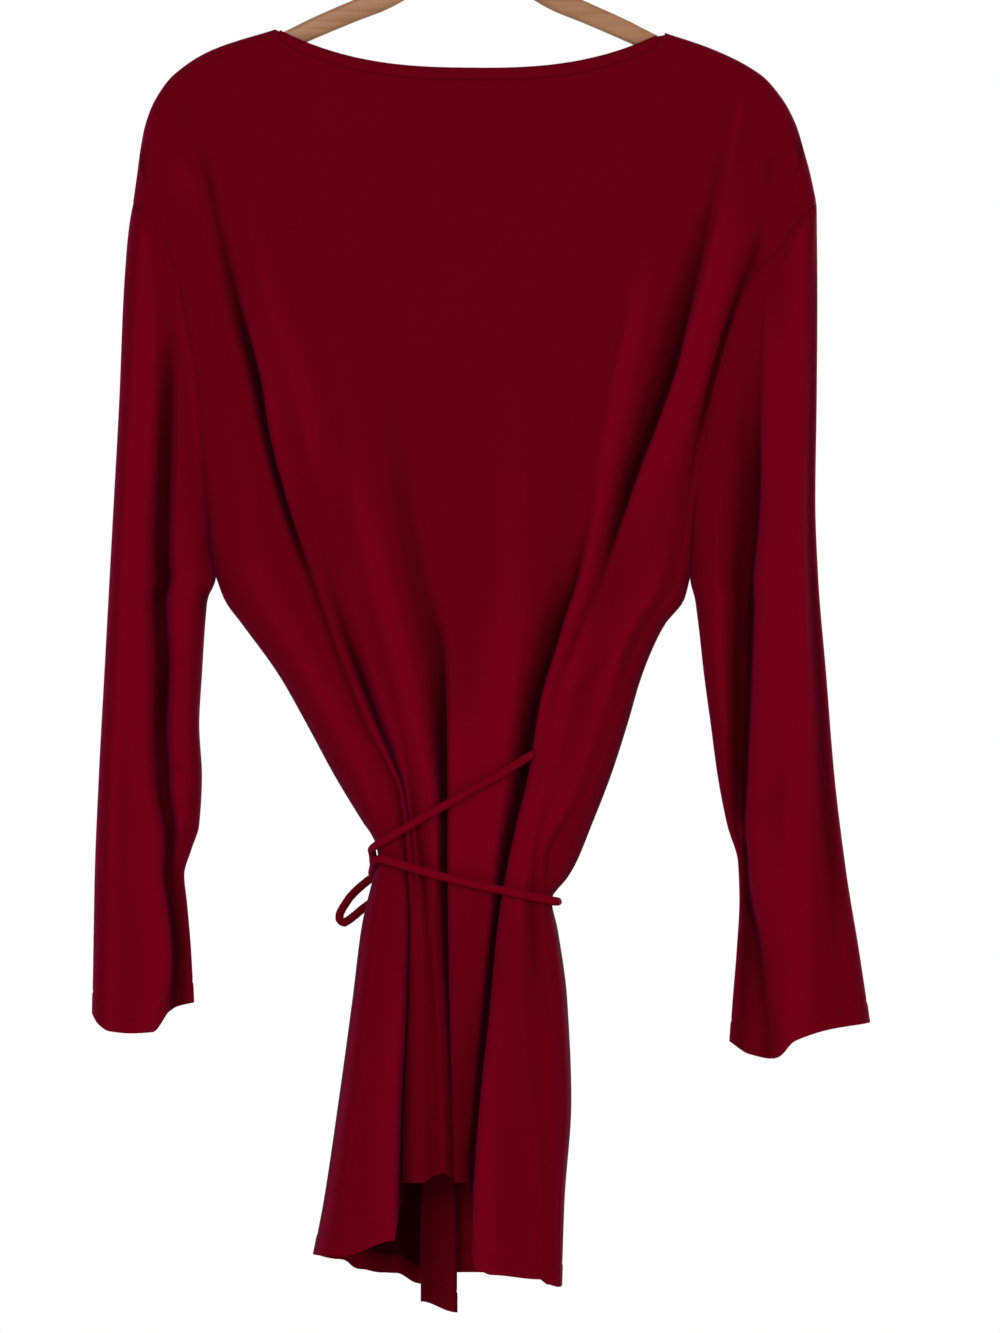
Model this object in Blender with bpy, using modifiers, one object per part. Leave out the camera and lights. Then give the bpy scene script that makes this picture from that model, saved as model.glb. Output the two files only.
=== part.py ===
"""Tie-waist cardigan, seen from behind, hanging on a wooden hanger.

Metres, +Z up, +X to the wearer's right hand as seen from behind, -Y out of the garment's back.
The origin is where a rail carries the hanger's hook. Tables are in millimetres: x from the
hanger's centre line, drop below the left neck point, depth out of the garment's middle plane.
"""
import math

import bpy
from mathutils import Vector

MM = 0.001

# Driving sizes
NECK_BELOW_RAIL = 125.0
CLOTH = 1.2
SEAM_GAP = 0.3
NECK_HALF_WIDTH = 143.0
NECK_SCOOP = 28.0
NECK_TILT = 2.5
SHOULDER_DROP = 128.0
UNDERARM_DROP = 400.0
TIE_DIAMETER = 6.0
TIE_END_LENGTH = 170.0
WIRE_DIAMETER = 3.6
HOOK_RADIUS = 19.0
ARM_THICKNESS = 10.0
SLEEVE_BEND = 14.0

# The neck edge: the powers of its scoop and of the ends of its stand-out, and how far it stands out
NECK_CURVE = 2.65
NECK_CORNER = 16
NECK_STAND_OUT = 8.0

# Depth of the shoulder and side seams out of the middle plane, and how far below the top edge a
# panel has the depth that its table gives under the edge
SHOULDER_SEAM_DEPTH = 0.35
SIDE_SEAM_DEPTH = 0.45
UNDER_EDGE = 12.0

# Room between the tie and the cloth beside the gap that all pieces keep
STRAND_CLEARANCE = 0.8
END_CLEARANCE = 0.2

RED = (0.115, 0.0025, 0.011, 1.0)
WOOD = (0.33, 0.16, 0.07, 1.0)
STEEL = (0.62, 0.62, 0.64, 1.0)

# Shoulder seams from the neck point out to the sleeve, (x, drop)
SHOULDER = {
    "left": ((-143, 0), (-189, 15), (-217, 33), (-231, 52), (-238, 70), (-241.5, 88), (-244, 107),
             (-247, SHOULDER_DROP)),
    "right": ((143, 2.5), (178, 14.5), (213, 33), (229, 51), (239, 70), (244.5, 88), (249.6, 107),
              (254, SHOULDER_DROP)),
}

# Armhole seams from the shoulder down to the underarm, (drop, x, depth)
ARMHOLE = {
    "left": ((128, -247, 0.4), (134, -241, 9), (143, -233, 15), (158, -222, 19), (180, -215, 21), (198, -211, 22),
             (272, -198, 21), (345, -194, 14), (380, -191, 7), (400, -187, 0.4)),
    "right": ((128, 254, 0.4), (134, 247, 9), (143, 239, 15), (158, 229, 19), (180, 210, 21), (198, 200, 22),
              (272, 179, 21), (345, 166, 14), (380, 163, 7), (400, 162, 0.4)),
}

# Side seams from the underarm down to the hem, (drop, x)
SIDE = {
    "left": ((400, -187), (418, -180), (437, -166), (473, -140), (510, -119), (547, -99), (580, -79), (594, -70),
             (606, -67), (621, -70.5), (657, -79), (712, -86), (785, -96), (859, -107), (900, -115)),
    "right": ((400, 162), (418, 157), (437, 142), (473, 126), (510, 115), (547, 103), (583, 89), (612, 77),
              (622, 71), (638, 59.5), (660, 64), (712, 71), (785, 74), (859, 69), (918, 67)),
}

# Heights that the fold tables give: chest, bust, underarm, ribs, waist, hip and above the hem
LEVELS = (198, 301, 400, 510, 609, 712, 870)

# Folds of the back from its left side seam to its right one: where each starts on the shoulder or
# neck edge, its x and its depth at LEVELS, its depth just under the edge, and the hem's drop there
BACK_FOLDS = (
    ("side_left", -247, None, None, 0, 898),
    ("left_crest", -243, (-189, -170, -153, -94, -63, -72, -92), (24, 26, 26, 30, 30, 42, 52), 18, 897),
    ("left_edge", -237, (-178, -153, -126, -82, -55, -50, -55), (22, 20, 19, 27, 30, 42, 50), 15, 889),
    ("tuck_valley", -228, (-173, -148, -118, -76, -50, -46, -49), (20, 15, 11, 22, 25, 14, 6), 13, 862),
    ("tuck_ridge", -213, (-166, -142, -112, -70, -46, -42, -45), (26, 26, 23, 29, 31, 20, 12), 12, 845),
    ("second_valley", -185, (-143, -128, -103, -64, -42, -38, -39), (25, 26, 20, 20, 27, 22, 15), 12, 845),
    ("blade_ridge", -143, (-103, -90, -72, -48, -37, -35, -34), (26, 29, 30, 33, 34, 21, 14), 12, 845),
    ("pleat_valley", -117, (-88, -75, -59, -40, -31, -31, -28), (25, 28, 29, 31, 30, 16, 9), 12, 841),
    ("pleat_ridge", -88, (-72, -60, -48, -31, -25, -23, -22), (25, 26, 27, 27, 33, 21, 14), 12, 840),
    ("centre_valley", -55, (-51, -44, -37, -20, -18, -17, -16), (25, 25, 23, 16, 9, 9, 6), 12, 841),
    ("centre_left", -22, (-29, -23, -18, -12, -10, -11, -11), (25, 26, 27, 32, 34, 24, 14), 12, 844),
    ("centre_right", 66, (95, 70, 48, 26, 12, 3, -6), (25, 26, 30, 34, 34, 24, 16), 12, 843),
    ("slit_valley", 143, (165, 132, 77, 43, 22, 9, -1), (20, 15, 12, 12, 10, 9, 8), 12, 852),
    ("slit_ridge", 170, (174, 138, 86, 51, 31, 18, 7), (24, 24, 24, 29, 32, 40, 48), 12, 908),
    ("tie_valley", 198, (180, 146, 100, 59, 36, 24, 16), (23, 24, 21, 26, 31, 42, 52), 12, 914),
    ("right_crest", 220, (187, 154, 130, 88, 44, 34, 40), (22, 24, 26, 32, 33, 44, 56), 14, 918),
    ("right_valley", 234, (191, 160, 142, 97, 50, 50, 54), (20, 20, 22, 28, 23, 36, 52), 17, 921),
    ("right_outer", 246, (195, 166, 151, 105, 55, 61, 60), (18, 17, 16, 24, 25, 36, 44), 19, 921),
    ("side_right", 254, None, None, 0, 920),
)

FRONT_LEFT_FOLDS = (
    ("side_left", -247, None, None, 0, 898),
    ("crest", -240, (-196, -180, -163, -101, -63, -74, -96), (20, 22, 22, 26, 27, 36, 44), 18, 904),
    ("valley", -228, (-183, -165, -142, -87, -54, -62, -80), (20, 19, 14, 18, 20, 30, 36), 14, 911),
    ("ridge", -213, (-168, -148, -120, -74, -47, -53, -66), (21, 22, 24, 30, 33, 42, 48), 12, 914),
    ("inner_valley", -193, (-150, -128, -100, -62, -40, -45, -54), (20, 21, 20, 21, 22, 32, 40), 12, 914),
    ("inner_ridge", -172, (-132, -108, -82, -51, -32, -36, -38), (20, 22, 26, 31, 33, 42, 48), 12, 922),
    ("edge_roll", -156, (-113, -92, -69, -41, -21, -15, -10), (19, 21, 25, 30, 31, 36, 39), 12, 943),
    ("edge", -143, (-103, -82, -61, -34, -10, -26, -36), (18, 20, 24, 29, 30, 24, 22), 12, 934),
)

FRONT_RIGHT_FOLDS = (
    ("edge", 143, (93, 66, 40, 8, -27, -22, -15), (18, 21, 25, 32, 37, 45, 51), 12, 914),
    ("inner_ridge", 164, (118, 88, 62, 32, 1, 2, 1), (20, 22, 26, 32, 37, 46, 53), 12, 914),
    ("inner_valley", 184, (138, 106, 84, 51, 21, 24, 20), (20, 20, 20, 20, 22, 36, 44), 12, 914),
    ("ridge", 205, (156, 124, 106, 70, 34, 38, 33), (21, 23, 25, 31, 34, 44, 51), 12, 915),
    ("valley", 226, (172, 143, 128, 88, 46, 52, 48), (20, 19, 15, 18, 22, 32, 40), 14, 917),
    ("crest", 243, (189, 162, 149, 103, 54, 61, 60), (19, 19, 18, 25, 26, 34, 42), 18, 918),
    ("side_right", 254, None, None, 0, 920),
)

# Sleeves: the hanging edge, the underarm edge, and the folds between them. A fold is (columns' share
# that follows it, share of the width from the underarm edge, depth); a negative depth lies past the
# middle plane
SLEEVE_LEVELS = (198, 272, 345, 400, 473, 547, 620, 675, 735)
SLEEVES = {
    "left": {
        "outer": ((128, -247), (143, -249.6), (161, -251.5), (198, -254), (272, -257), (345, -261), (400, -264),
                  (473, -268), (547, -272), (620, -275), (675, -276), (735, -277)),
        "inner": ((400, -189), (418, -193), (473, -197), (510, -199), (547, -197), (583, -199), (602, -205),
                  (620, -210), (640, -208), (675, -205), (735, -202)),
        "back": (
            (.14, (.12, .15, .18, .20, .18, .14, .08, .10, .12), (22, 20, 18, 16, 15, 13, 9, 5, 1)),
            (.30, (.35, .40, .44, .43, .38, .30, .20, .22, .26), (22, 18, 13, 9, 5, 4, 4, 2, -1)),
            (.50, (.52, .56, .60, .58, .53, .46, .36, .36, .38), (22, 23, 24, 25, 26, 26, 26, 24, 22)),
            (.82, (.80, .82, .84, .84, .82, .80, .78, .76, .74), (22, 23, 24, 25, 26, 26, 27, 27, 26)),
        ),
        "front": (
            (.22, (.22, .22, .24, .26, .28, .28, .26, .24, .24), (21, 20, 19, 18, 19, 20, 20, 21, 22)),
            (.46, (.44, .45, .48, .50, .52, .52, .50, .46, .44), (20, 17, 14, 12, 12, 13, 15, 17, 18)),
            (.78, (.76, .76, .78, .78, .78, .78, .78, .76, .76), (21, 22, 23, 24, 25, 25, 25, 26, 27)),
        ),
        "cuff": ((0.0, 713.5), (0.30, 717), (0.40, 720), (0.50, 734.5), (0.71, 735.5), (0.88, 734),
                 (0.95, 729), (1.0, 721)),
        "front_cuff": ((0.0, 713.5), (0.5, 717), (1.0, 721)),
    },
    "right": {
        "outer": ((128, 254), (198, 254.5), (272, 254), (345, 253), (400, 255), (473, 261), (547, 267),
                  (620, 276), (675, 285), (735, 294)),
        "inner": ((400, 163), (437, 168), (473, 172), (510, 177), (547, 182), (583, 189), (611, 197), (638, 198),
                  (675, 196), (712, 193), (740, 191)),
        "back": (
            (.12, (.12, .15, .18, .16, .12, .09, .05, .06, .09), (22, 20, 18, 15, 11, 9, 6, 10, 14)),
            (.28, (.35, .42, .48, .42, .31, .20, .12, .14, .20), (22, 16, 9, 4, 1, 1, 6, 14, 18)),
            (.46, (.52, .58, .64, .58, .46, .32, .24, .26, .34), (22, 23, 25, 26, 27, 27, 26, 26, 27)),
            (.74, (.78, .82, .84, .82, .80, .76, .62, .56, .54), (23, 25, 27, 28, 29, 30, 31, 32, 32)),
            (.90, (.92, .93, .94, .94, .93, .91, .88, .86, .84), (21, 21, 21, 21, 21, 21, 22, 22, 22)),
        ),
        "front": (
            (.22, (.22, .22, .24, .26, .28, .28, .26, .24, .24), (21, 20, 19, 18, 19, 20, 20, 22, 24)),
            (.46, (.44, .45, .48, .50, .52, .52, .50, .48, .46), (20, 17, 14, 12, 12, 13, 16, 18, 20)),
            (.78, (.76, .76, .78, .78, .78, .78, .78, .78, .78), (21, 22, 23, 24, 25, 26, 27, 28, 30)),
        ),
        "cuff": ((0.0, 742), (0.18, 751), (0.40, 754), (0.58, 750), (0.75, 741), (0.87, 732), (1.0, 728)),
        "front_cuff": ((0.0, 742), (0.5, 735), (1.0, 728)),
    },
}

# The tie's ways round the waist, (x, drop): one strand is sewn into the right-hand back tuck, the
# other on the right front's edge, and both end at the knot on the left
TIE_BACK_HIGH = ((46, 531), (25, 544), (0, 558), (-30, 575), (-66, 596))
TIE_BACK_LOW = ((-66, 607), (-33, 617), (-6, 624), (31, 632), (54, 637))
TIE_FRONT = ((52, 640), (38, 641), (14, 640), (-20, 636))
KNOT = (-56, 617)
KNOT_HALF_SIZES = (10.0, 7.5, 9.0)

# The hanger's wooden arm from its middle out to one end, (x, drop of its upper edge, its height)
HANGER_ARM = ((0, -62, 24), (14, -60, 24), (30, -53, 21), (44, -42, 18), (60, -32, 17), (85, -21.5, 16.5),
              (115, -8.2, 16), (143, 5.4, 15), (178, 18, 14), (196, 26.5, 12), (207, 34, 8.5))
HANGER_TILT = 0.008
HANGER_EDGE = 3.0

# Wall resolution
STEPS_PER_FOLD = 2
STEPS_AT_SIDE_SEAM = 3
EDGE_ROWS = (0.0, 1.2, 4.0, 8.0, 13.0, 24.0)
EDGE_ROLL = 13.0
CHEST_ROWS = 8
WAIST_AND_SKIRT_ROWS = (424, 452, 484, 516, 548, 574, 592, 606, 621, 638, 660, 695, 735, 780, 812)
SLEEVE_ROWS = 19


def through(knots, at):
    """The value at a place on a smooth curve through (place, value) knots that never overshoots them."""
    places = [knot[0] for knot in knots]
    values = [knot[1] for knot in knots]
    if at <= places[0]:
        return values[0]
    if at >= places[-1]:
        return values[-1]
    rises = [(values[i + 1] - values[i]) / (places[i + 1] - places[i]) for i in range(len(knots) - 1)]
    slopes = [rises[0]]
    for before, after in zip(rises, rises[1:]):
        slopes.append(0.0 if before * after <= 0 else 2 * before * after / (before + after))
    slopes.append(rises[-1])
    i = max(k for k in range(len(places) - 1) if places[k] <= at)
    span = places[i + 1] - places[i]
    t = (at - places[i]) / span
    return ((2 * t**3 - 3 * t**2 + 1) * values[i] + (t**3 - 2 * t**2 + t) * span * slopes[i]
            + (3 * t**2 - 2 * t**3) * values[i + 1] + (t**3 - t**2) * span * slopes[i + 1])


def mix(a, b, share):
    return a + (b - a) * share


def smooth(t):
    t = min(max(t, 0.0), 1.0)
    return t * t * (3 - 2 * t)


def quarter(t):
    """Height of a quarter circle that rises from 0 at t = 0 to 1 at t = 1."""
    t = min(max(t, 0.0), 1.0)
    return math.sqrt(1 - (1 - t)**2)


def place(x, depth, drop, side):
    """A point of the garment in metres; side is -1 on its back and 1 on its front."""
    return Vector((x, side * depth, -(NECK_BELOW_RAIL + drop))) * MM


def top_edge_drop(x):
    """Drop of the shoulder and back neck edge at x."""
    if x < -NECK_HALF_WIDTH:
        return through(sorted((knot[0], knot[1]) for knot in SHOULDER["left"]), x)
    if x > NECK_HALF_WIDTH:
        return through(SHOULDER["right"], x)
    tilt = NECK_TILT * (x + NECK_HALF_WIDTH) / (2 * NECK_HALF_WIDTH)
    return tilt + NECK_SCOOP * (1 - abs(x / NECK_HALF_WIDTH)**NECK_CURVE)


def top_edge_depth(x):
    """Depth of that edge: nothing along the shoulder seams, and out behind the hanger at the neck."""
    share = math.sqrt(max(0.0, 1 - abs(x / NECK_HALF_WIDTH)**NECK_CORNER))
    return SHOULDER_SEAM_DEPTH + NECK_STAND_OUT * share


def from_top_edge(x, drop):
    """Distance of a point below the shoulder and neck edge, square to the edge."""
    slope = (top_edge_drop(x + 0.5) - top_edge_drop(x - 0.5))
    return (drop - top_edge_drop(x)) / math.sqrt(1 + slope * slope)


def close_share(drop):
    """0 on the upper armhole and 1 at the underarm, where body and sleeve turn away from each other."""
    return smooth((drop - 240) / (UNDERARM_DROP - 250))


def seam_stand_off(drop):
    """How far the body and the sleeve each stay off the armhole seam line."""
    return mix(0.5 * SEAM_GAP + 0.3, 0.5 * (CLOTH + SEAM_GAP) + 0.1, smooth((drop - 200) / 120))


def side_x(side, drop):
    """x of the body's edge: the armhole seam above the underarm, and the side seam below it."""
    if drop < UNDERARM_DROP:
        inward = 1 if side == "left" else -1
        x = through([(knot[0], knot[1]) for knot in ARMHOLE[side]], drop)
        return x + inward * seam_stand_off(drop)
    inward = 1 if side == "left" else -1
    return through(SIDE[side], drop) + inward * seam_stand_off(drop) * (1 - smooth((drop - 400) / 40))


def side_depth(side, drop):
    if drop < UNDERARM_DROP:
        return through([(knot[0], knot[2]) for knot in ARMHOLE[side]], drop)
    return SIDE_SEAM_DEPTH


def fold_at(fold, drop):
    """(x, depth) of a fold's line at a drop, before the edge over the hanger is rounded."""
    name, top_x, across, depths, under_edge, _ = fold
    if across is None:
        side = "left" if name.endswith("left") else "right"
        return side_x(side, drop), side_depth(side, drop)
    top = top_edge_drop(top_x)
    xs = [(top, top_x)] + [(level, x) for level, x in zip(LEVELS, across)]
    ys = [(top + UNDER_EDGE, under_edge)] + [(level, depth) for level, depth in zip(LEVELS, depths)]
    return through(xs, drop), through(ys, drop)


def between(first, second, share, drop):
    """(x, depth) between two neighbouring folds: round at a side seam, full at a ridge, sharp in a valley."""
    x1, y1 = fold_at(first, drop)
    x2, y2 = fold_at(second, drop)
    if first[2] is None:
        turn = share * math.pi / 2
        round_x = mix(share, 1 - math.cos(turn), close_share(drop))
        return mix(x1, x2, round_x), mix(y1, y2, math.sin(turn))
    if second[2] is None:
        return between(second, first, 1 - share, drop)
    if y1 > y2:
        eased = mix(smooth(share), share**1.5, 0.6)
    else:
        eased = mix(smooth(share), 1 - (1 - share)**1.5, 0.6)
    return mix(x1, x2, share), mix(y1, y2, eased)


def panel_columns(folds):
    """(first fold, second fold, share) of each column across a panel."""
    columns = []
    for first, second in zip(folds, folds[1:]):
        at_seam = first[2] is None or second[2] is None
        steps = STEPS_AT_SIDE_SEAM if at_seam else STEPS_PER_FOLD
        shares = [step / steps for step in range(steps)]
        if folds is BACK_FOLDS and first[1] == -NECK_HALF_WIDTH:
            shares.insert(1, 0.17)
        if folds is BACK_FOLDS and second[1] == NECK_HALF_WIDTH:
            shares.append(0.94)
        columns += [(first, second, share) for share in shares]
    columns.append((folds[-2], folds[-1], 1.0))
    return columns


def spread(share, below):
    """A column's share: one that starts beside a neck point moves a quarter into its interval below."""
    wide = min(max(share, 0.25), 0.75) if share not in (0.0, 1.0) else share
    return mix(share, wide, smooth(below / 150))


def column_point(column, drop, top, top_x):
    """(x, depth) of a column's point, with the cloth rounded over the hanger just under its edge."""
    first, second, share = column
    share = spread(share, drop - top)
    x, depth = between(first, second, share, drop)
    if first[2] is None and share == 0 or second[2] is None and share == 1:
        return x, depth
    x += (top_x - between(first, second, share, top)[0]) * (1 - smooth((drop - top) / 70))
    edge = top_edge_depth(top_x)
    return x, mix(edge, depth, quarter(from_top_edge(x, drop) / EDGE_ROLL))


def row_drops(top, hem):
    """Drops of a panel's rows: close together over the hanger, one at the underarm and the last at the hem."""
    drops = [top + step for step in EDGE_ROWS]
    drops += [mix(drops[-1], UNDERARM_DROP, (row + 1) / CHEST_ROWS) for row in range(CHEST_ROWS)]
    drops += WAIST_AND_SKIRT_ROWS
    return drops + [mix(drops[-1], hem, 0.5), hem]


def body_panel(folds, side):
    """Rows of points of a front or back panel, from its shoulder edge down to its hem."""
    columns = []
    for column in panel_columns(folds):
        first, second, share = column
        top_x = mix(first[1], second[1], share)
        top = top_edge_drop(top_x)
        hem = mix(first[5], second[5], smooth(share))
        points = []
        for drop in row_drops(top, hem):
            x, depth = column_point(column, drop, top, top_x)
            points.append(place(x, depth, drop, side))
        columns.append(points)
    return [list(row) for row in zip(*columns)]


def sleeve_profile(folds, along, drop):
    """(share of the width, depth) of a sleeve's back or front where its columns' share is given."""
    shares = [(0.0, 0.0)]
    depths = []
    for column, places, heights in folds:
        shares.append((column, through(list(zip(SLEEVE_LEVELS, places)), drop)))
        depths.append((column, through(list(zip(SLEEVE_LEVELS, heights)), drop)))
    shares.append((1.0, 1.0))
    return through(shares, along), through(depths, along)


def armhole_drops():
    """Drops of the armhole seam's points, underarm to shoulder, where the panels' rows meet it."""
    return row_drops(SHOULDER_DROP, 900)[:len(EDGE_ROWS) + CHEST_ROWS][::-1]


def sleeve_x_and_depth(side, face, step, drop):
    """(x, depth) of one line down a sleeve, counted in steps up the armhole seam where it starts."""
    sizes = SLEEVES[side]
    outward = -1 if side == "left" else 1
    seam = armhole_drops()
    last = len(seam) - 1
    outer = through(sizes["outer"], drop)
    across = step / last
    if drop < UNDERARM_DROP:
        seam_step = through([(height, last - i) for i, height in enumerate(seam[::-1])], drop)
        inner = through([(knot[0], knot[1]) for knot in ARMHOLE[side]], drop) + outward * seam_stand_off(drop)
        seam_depth = side_depth(side, drop)
        across = (step - seam_step) / max(1e-6, last - seam_step)
        across = min(max(across, 0.0), 1.0)
    else:
        foot = ARMHOLE[side][-1][1] + outward * seam_stand_off(UNDERARM_DROP)
        inner = mix(foot, through(sizes["inner"], drop), smooth((drop - UNDERARM_DROP) / 18))
        seam_depth = 0.0
    along = mix((1 - math.cos(math.pi * across)) / 2, across, 0.4)
    width = abs(outer - inner)
    share, depth = sleeve_profile(sizes["back" if face < 0 else "front"], along, drop)
    depth = mix(seam_depth, depth, quarter(share * width / SLEEVE_BEND))
    depth = depth * quarter((1 - share) * width / SLEEVE_BEND)
    return mix(inner, outer, share), depth


def sleeve_rings(side):
    """Rings of points down a sleeve, each round from the underarm, up its back and down its front."""
    seam = armhole_drops()
    last = len(seam) - 1
    lines = [(-1, step) for step in range(last + 1)] + [(1, step) for step in range(last - 1, 0, -1)]
    columns = []
    for face, step in lines:
        cuff = SLEEVES[side]["cuff" if face < 0 else "front_cuff"]
        along = mix((1 - math.cos(math.pi * step / last)) / 2, step / last, 0.4)
        points = []
        for row in range(SLEEVE_ROWS + 1):
            drop = mix(seam[step], through(cuff, along), row / SLEEVE_ROWS)
            x, depth = sleeve_x_and_depth(side, face, step, drop)
            points.append(place(x, depth, drop, face))
        columns.append(points)
    return [list(ring) for ring in zip(*columns)]


def panel_depth(folds, x, drop):
    """How far a panel stands out at x: the deepest of its columns' joining lines there."""
    line = []
    for first, second, share in panel_columns(folds):
        line.append(between(first, second, share, drop))
    depths = [0.0]
    for (x1, y1), (x2, y2) in zip(line, line[1:]):
        if min(x1, x2) <= x <= max(x1, x2) and abs(x2 - x1) > 1e-6:
            depths.append(mix(y1, y2, (x - x1) / (x2 - x1)))
    return max(depths)


def taut(knots, folds, side):
    """Points of a tie strand drawn tight over a panel's ridges, spanning its valleys."""
    stand_off = 0.5 * CLOTH + SEAM_GAP + 0.5 * TIE_DIAMETER + STRAND_CLEARANCE
    ordered = sorted(knots)
    low, high = ordered[0][0], ordered[-1][0]
    steps = max(8, int((high - low) / 5))
    spots = []
    for i in range(steps + 1):
        x = mix(low, high, i / steps)
        drop = through(ordered, x)
        depth = max(panel_depth(folds, x + dx, drop + dz) for dx in (-3, 0, 3) for dz in (-4, 0, 4))
        spots.append((x, depth + stand_off, drop))
    hull = []
    for spot in spots:
        while len(hull) > 1:
            (x1, y1, _), (x2, y2, _) = hull[-2], hull[-1]
            if (y2 - y1) * (spot[0] - x1) > (spot[1] - y1) * (x2 - x1):
                break
            hull.pop()
        hull.append(spot)
    outline = [(x, depth) for x, depth, _ in hull]
    wanted = sorted({round(x, 3) for x, _, _ in hull} | {round(mix(low, high, i / 5), 3) for i in range(6)})
    points = [(x, side * straight_through(outline, x), through(ordered, x)) for x in wanted]
    kept = [points[0]]
    for point in points[1:-1]:
        if point[0] - kept[-1][0] > 7 and points[-1][0] - point[0] > 7:
            kept.append(point)
    kept.append(points[-1])
    return kept if knots[0][0] < knots[-1][0] else kept[::-1]


def straight_through(knots, at):
    for (x1, y1), (x2, y2) in zip(knots, knots[1:]):
        if x1 <= at <= x2:
            return mix(y1, y2, (at - x1) / (x2 - x1))
    return knots[-1][1]


def add_material(name, colour, roughness, metallic=0.0):
    material = bpy.data.materials.new(name)
    material.use_nodes = True
    shader = material.node_tree.nodes["Principled BSDF"]
    shader.inputs["Base Color"].default_value = colour
    shader.inputs["Roughness"].default_value = roughness
    shader.inputs["Metallic"].default_value = metallic
    return material


def link(obj, material):
    obj.data.materials.append(material)
    bpy.data.collections["tie_waist_cardigan"].objects.link(obj)
    return obj


def lofted(name, rows, closed, material):
    """A mesh through rows of points, joined round where the rows are closed rings."""
    width = len(rows[0])
    points = [point for row in rows for point in row]
    faces = []
    for r in range(len(rows) - 1):
        for c in range(width if closed else width - 1):
            after = (c + 1) % width
            faces.append((r * width + c, r * width + after, (r + 1) * width + after, (r + 1) * width + c))
    mesh = bpy.data.meshes.new(name)
    mesh.from_pydata(points, [], faces)
    mesh.update()
    return link(bpy.data.objects.new(name, mesh), material)


def add_cord(name, points, diameter, material, resolution=2):
    """A round cord or wire along a line of points, with filled ends."""
    curve = bpy.data.curves.new(name, "CURVE")
    curve.dimensions = "3D"
    curve.bevel_depth = 0.5 * diameter * MM
    curve.bevel_resolution = resolution
    curve.use_fill_caps = True
    spline = curve.splines.new("POLY")
    spline.points.add(len(points) - 1)
    for spot, point in zip(spline.points, points):
        spot.co = (*point, 1)
    return link(bpy.data.objects.new(name, curve), material)


def add_cloth(name, rows, closed, material):
    """A cloth wall on a lofted surface."""
    obj = lofted(name, rows, closed, material)
    wall = obj.modifiers.new("cloth", "SOLIDIFY")
    wall.thickness = CLOTH * MM
    wall.offset = 0.0
    wall.use_quality_normals = True
    obj.data.shade_smooth()
    return obj


def add_hanger(wood, steel):
    """The wooden arms, cut from one flat outline with rounded edges, and the wire hook above them."""
    upper = [(x, drop + HANGER_EDGE) for x, drop, _ in HANGER_ARM]
    lower = [(x, drop + height - HANGER_EDGE) for x, drop, height in HANGER_ARM]
    outline = upper + lower[::-1]
    outline += [(-x, drop) for x, drop in lower[1:]]
    outline += [(-x, drop) for x, drop in upper[:0:-1]]
    curve = bpy.data.curves.new("hanger_arms", "CURVE")
    curve.dimensions = "2D"
    curve.fill_mode = "BOTH"
    curve.extrude = (0.5 * ARM_THICKNESS - HANGER_EDGE) * MM
    curve.bevel_depth = HANGER_EDGE * MM
    curve.bevel_resolution = 1
    spline = curve.splines.new("POLY")
    spline.points.add(len(outline) - 1)
    for point, (x, drop) in zip(spline.points, outline):
        point.co = (x * MM, -(NECK_BELOW_RAIL + drop + HANGER_TILT * x) * MM, 0, 1)
    spline.use_cyclic_u = True
    arms = link(bpy.data.objects.new("hanger_arms", curve), wood)
    arms.rotation_euler = (math.pi / 2, 0, 0)

    radius = HOOK_RADIUS + 0.5 * WIRE_DIAMETER
    hub_top = NECK_BELOW_RAIL + HANGER_ARM[0][1]
    centre = radius - 0.5 * WIRE_DIAMETER
    path = [(0, -(hub_top - 0.3)), (0, -(hub_top - 8)), (0, -50), (2.5, -44.5), (9, -38.5)]
    for step in range(17):
        turn = math.radians(-38 + step * 15)
        path.append((radius * math.cos(turn), radius * math.sin(turn) - centre))
    add_cord("hanger_hook", [Vector((x, 0, z)) * MM for x, z in path], WIRE_DIAMETER, steel, 3)


def add_neck_band(material):
    """The narrow binding of the back neck edge: the back panel's own points there, moved out."""
    panel = body_panel(BACK_FOLDS, -1)
    inside = [c for c, point in enumerate(panel[0]) if abs(point.x) < (NECK_HALF_WIDTH - 2) * MM]
    moved = []
    for r in (1, 2, 3):
        line = []
        for c in inside:
            across = panel[r][c + 1] - panel[r][c - 1]
            down = panel[r + 1][c] - panel[r - 1][c]
            line.append(panel[r][c] + down.cross(across).normalized() * (CLOTH + SEAM_GAP) * MM)
        moved.append(line)
    add_cloth("neck_band", moved, False, material)


def bent(points, radius, steps=3):
    """A line of points with each clear corner turned on an arc of about the given radius."""
    line = [points[0]]
    for before, corner, after in zip(points, points[1:], points[2:]):
        back, on = before - corner, after - corner
        if back.angle(on) > math.radians(172):
            line.append(corner)
            continue
        reach = min(radius, 0.45 * back.length, 0.45 * on.length)
        start, stop = corner + back.normalized() * reach, corner + on.normalized() * reach
        for step in range(steps + 1):
            t = step / steps
            line.append(start * (1 - t)**2 + corner * 2 * t * (1 - t) + stop * t**2)
    line.append(points[-1])
    return line


def rest(x, drop, lift=0.0):
    """Where the middle of a tie end lies at x and drop on the fronts, as (x, depth, drop)."""
    depth = max(panel_depth(folds, x + dx, drop + dz) for dx in (-5, -2.5, 0, 2.5, 5) for dz in (-8, 0, 8)
                for folds in (FRONT_LEFT_FOLDS, FRONT_RIGHT_FOLDS))
    return x, depth + 0.5 * CLOTH + SEAM_GAP + 0.5 * TIE_DIAMETER + END_CLEARANCE + lift, drop


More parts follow.
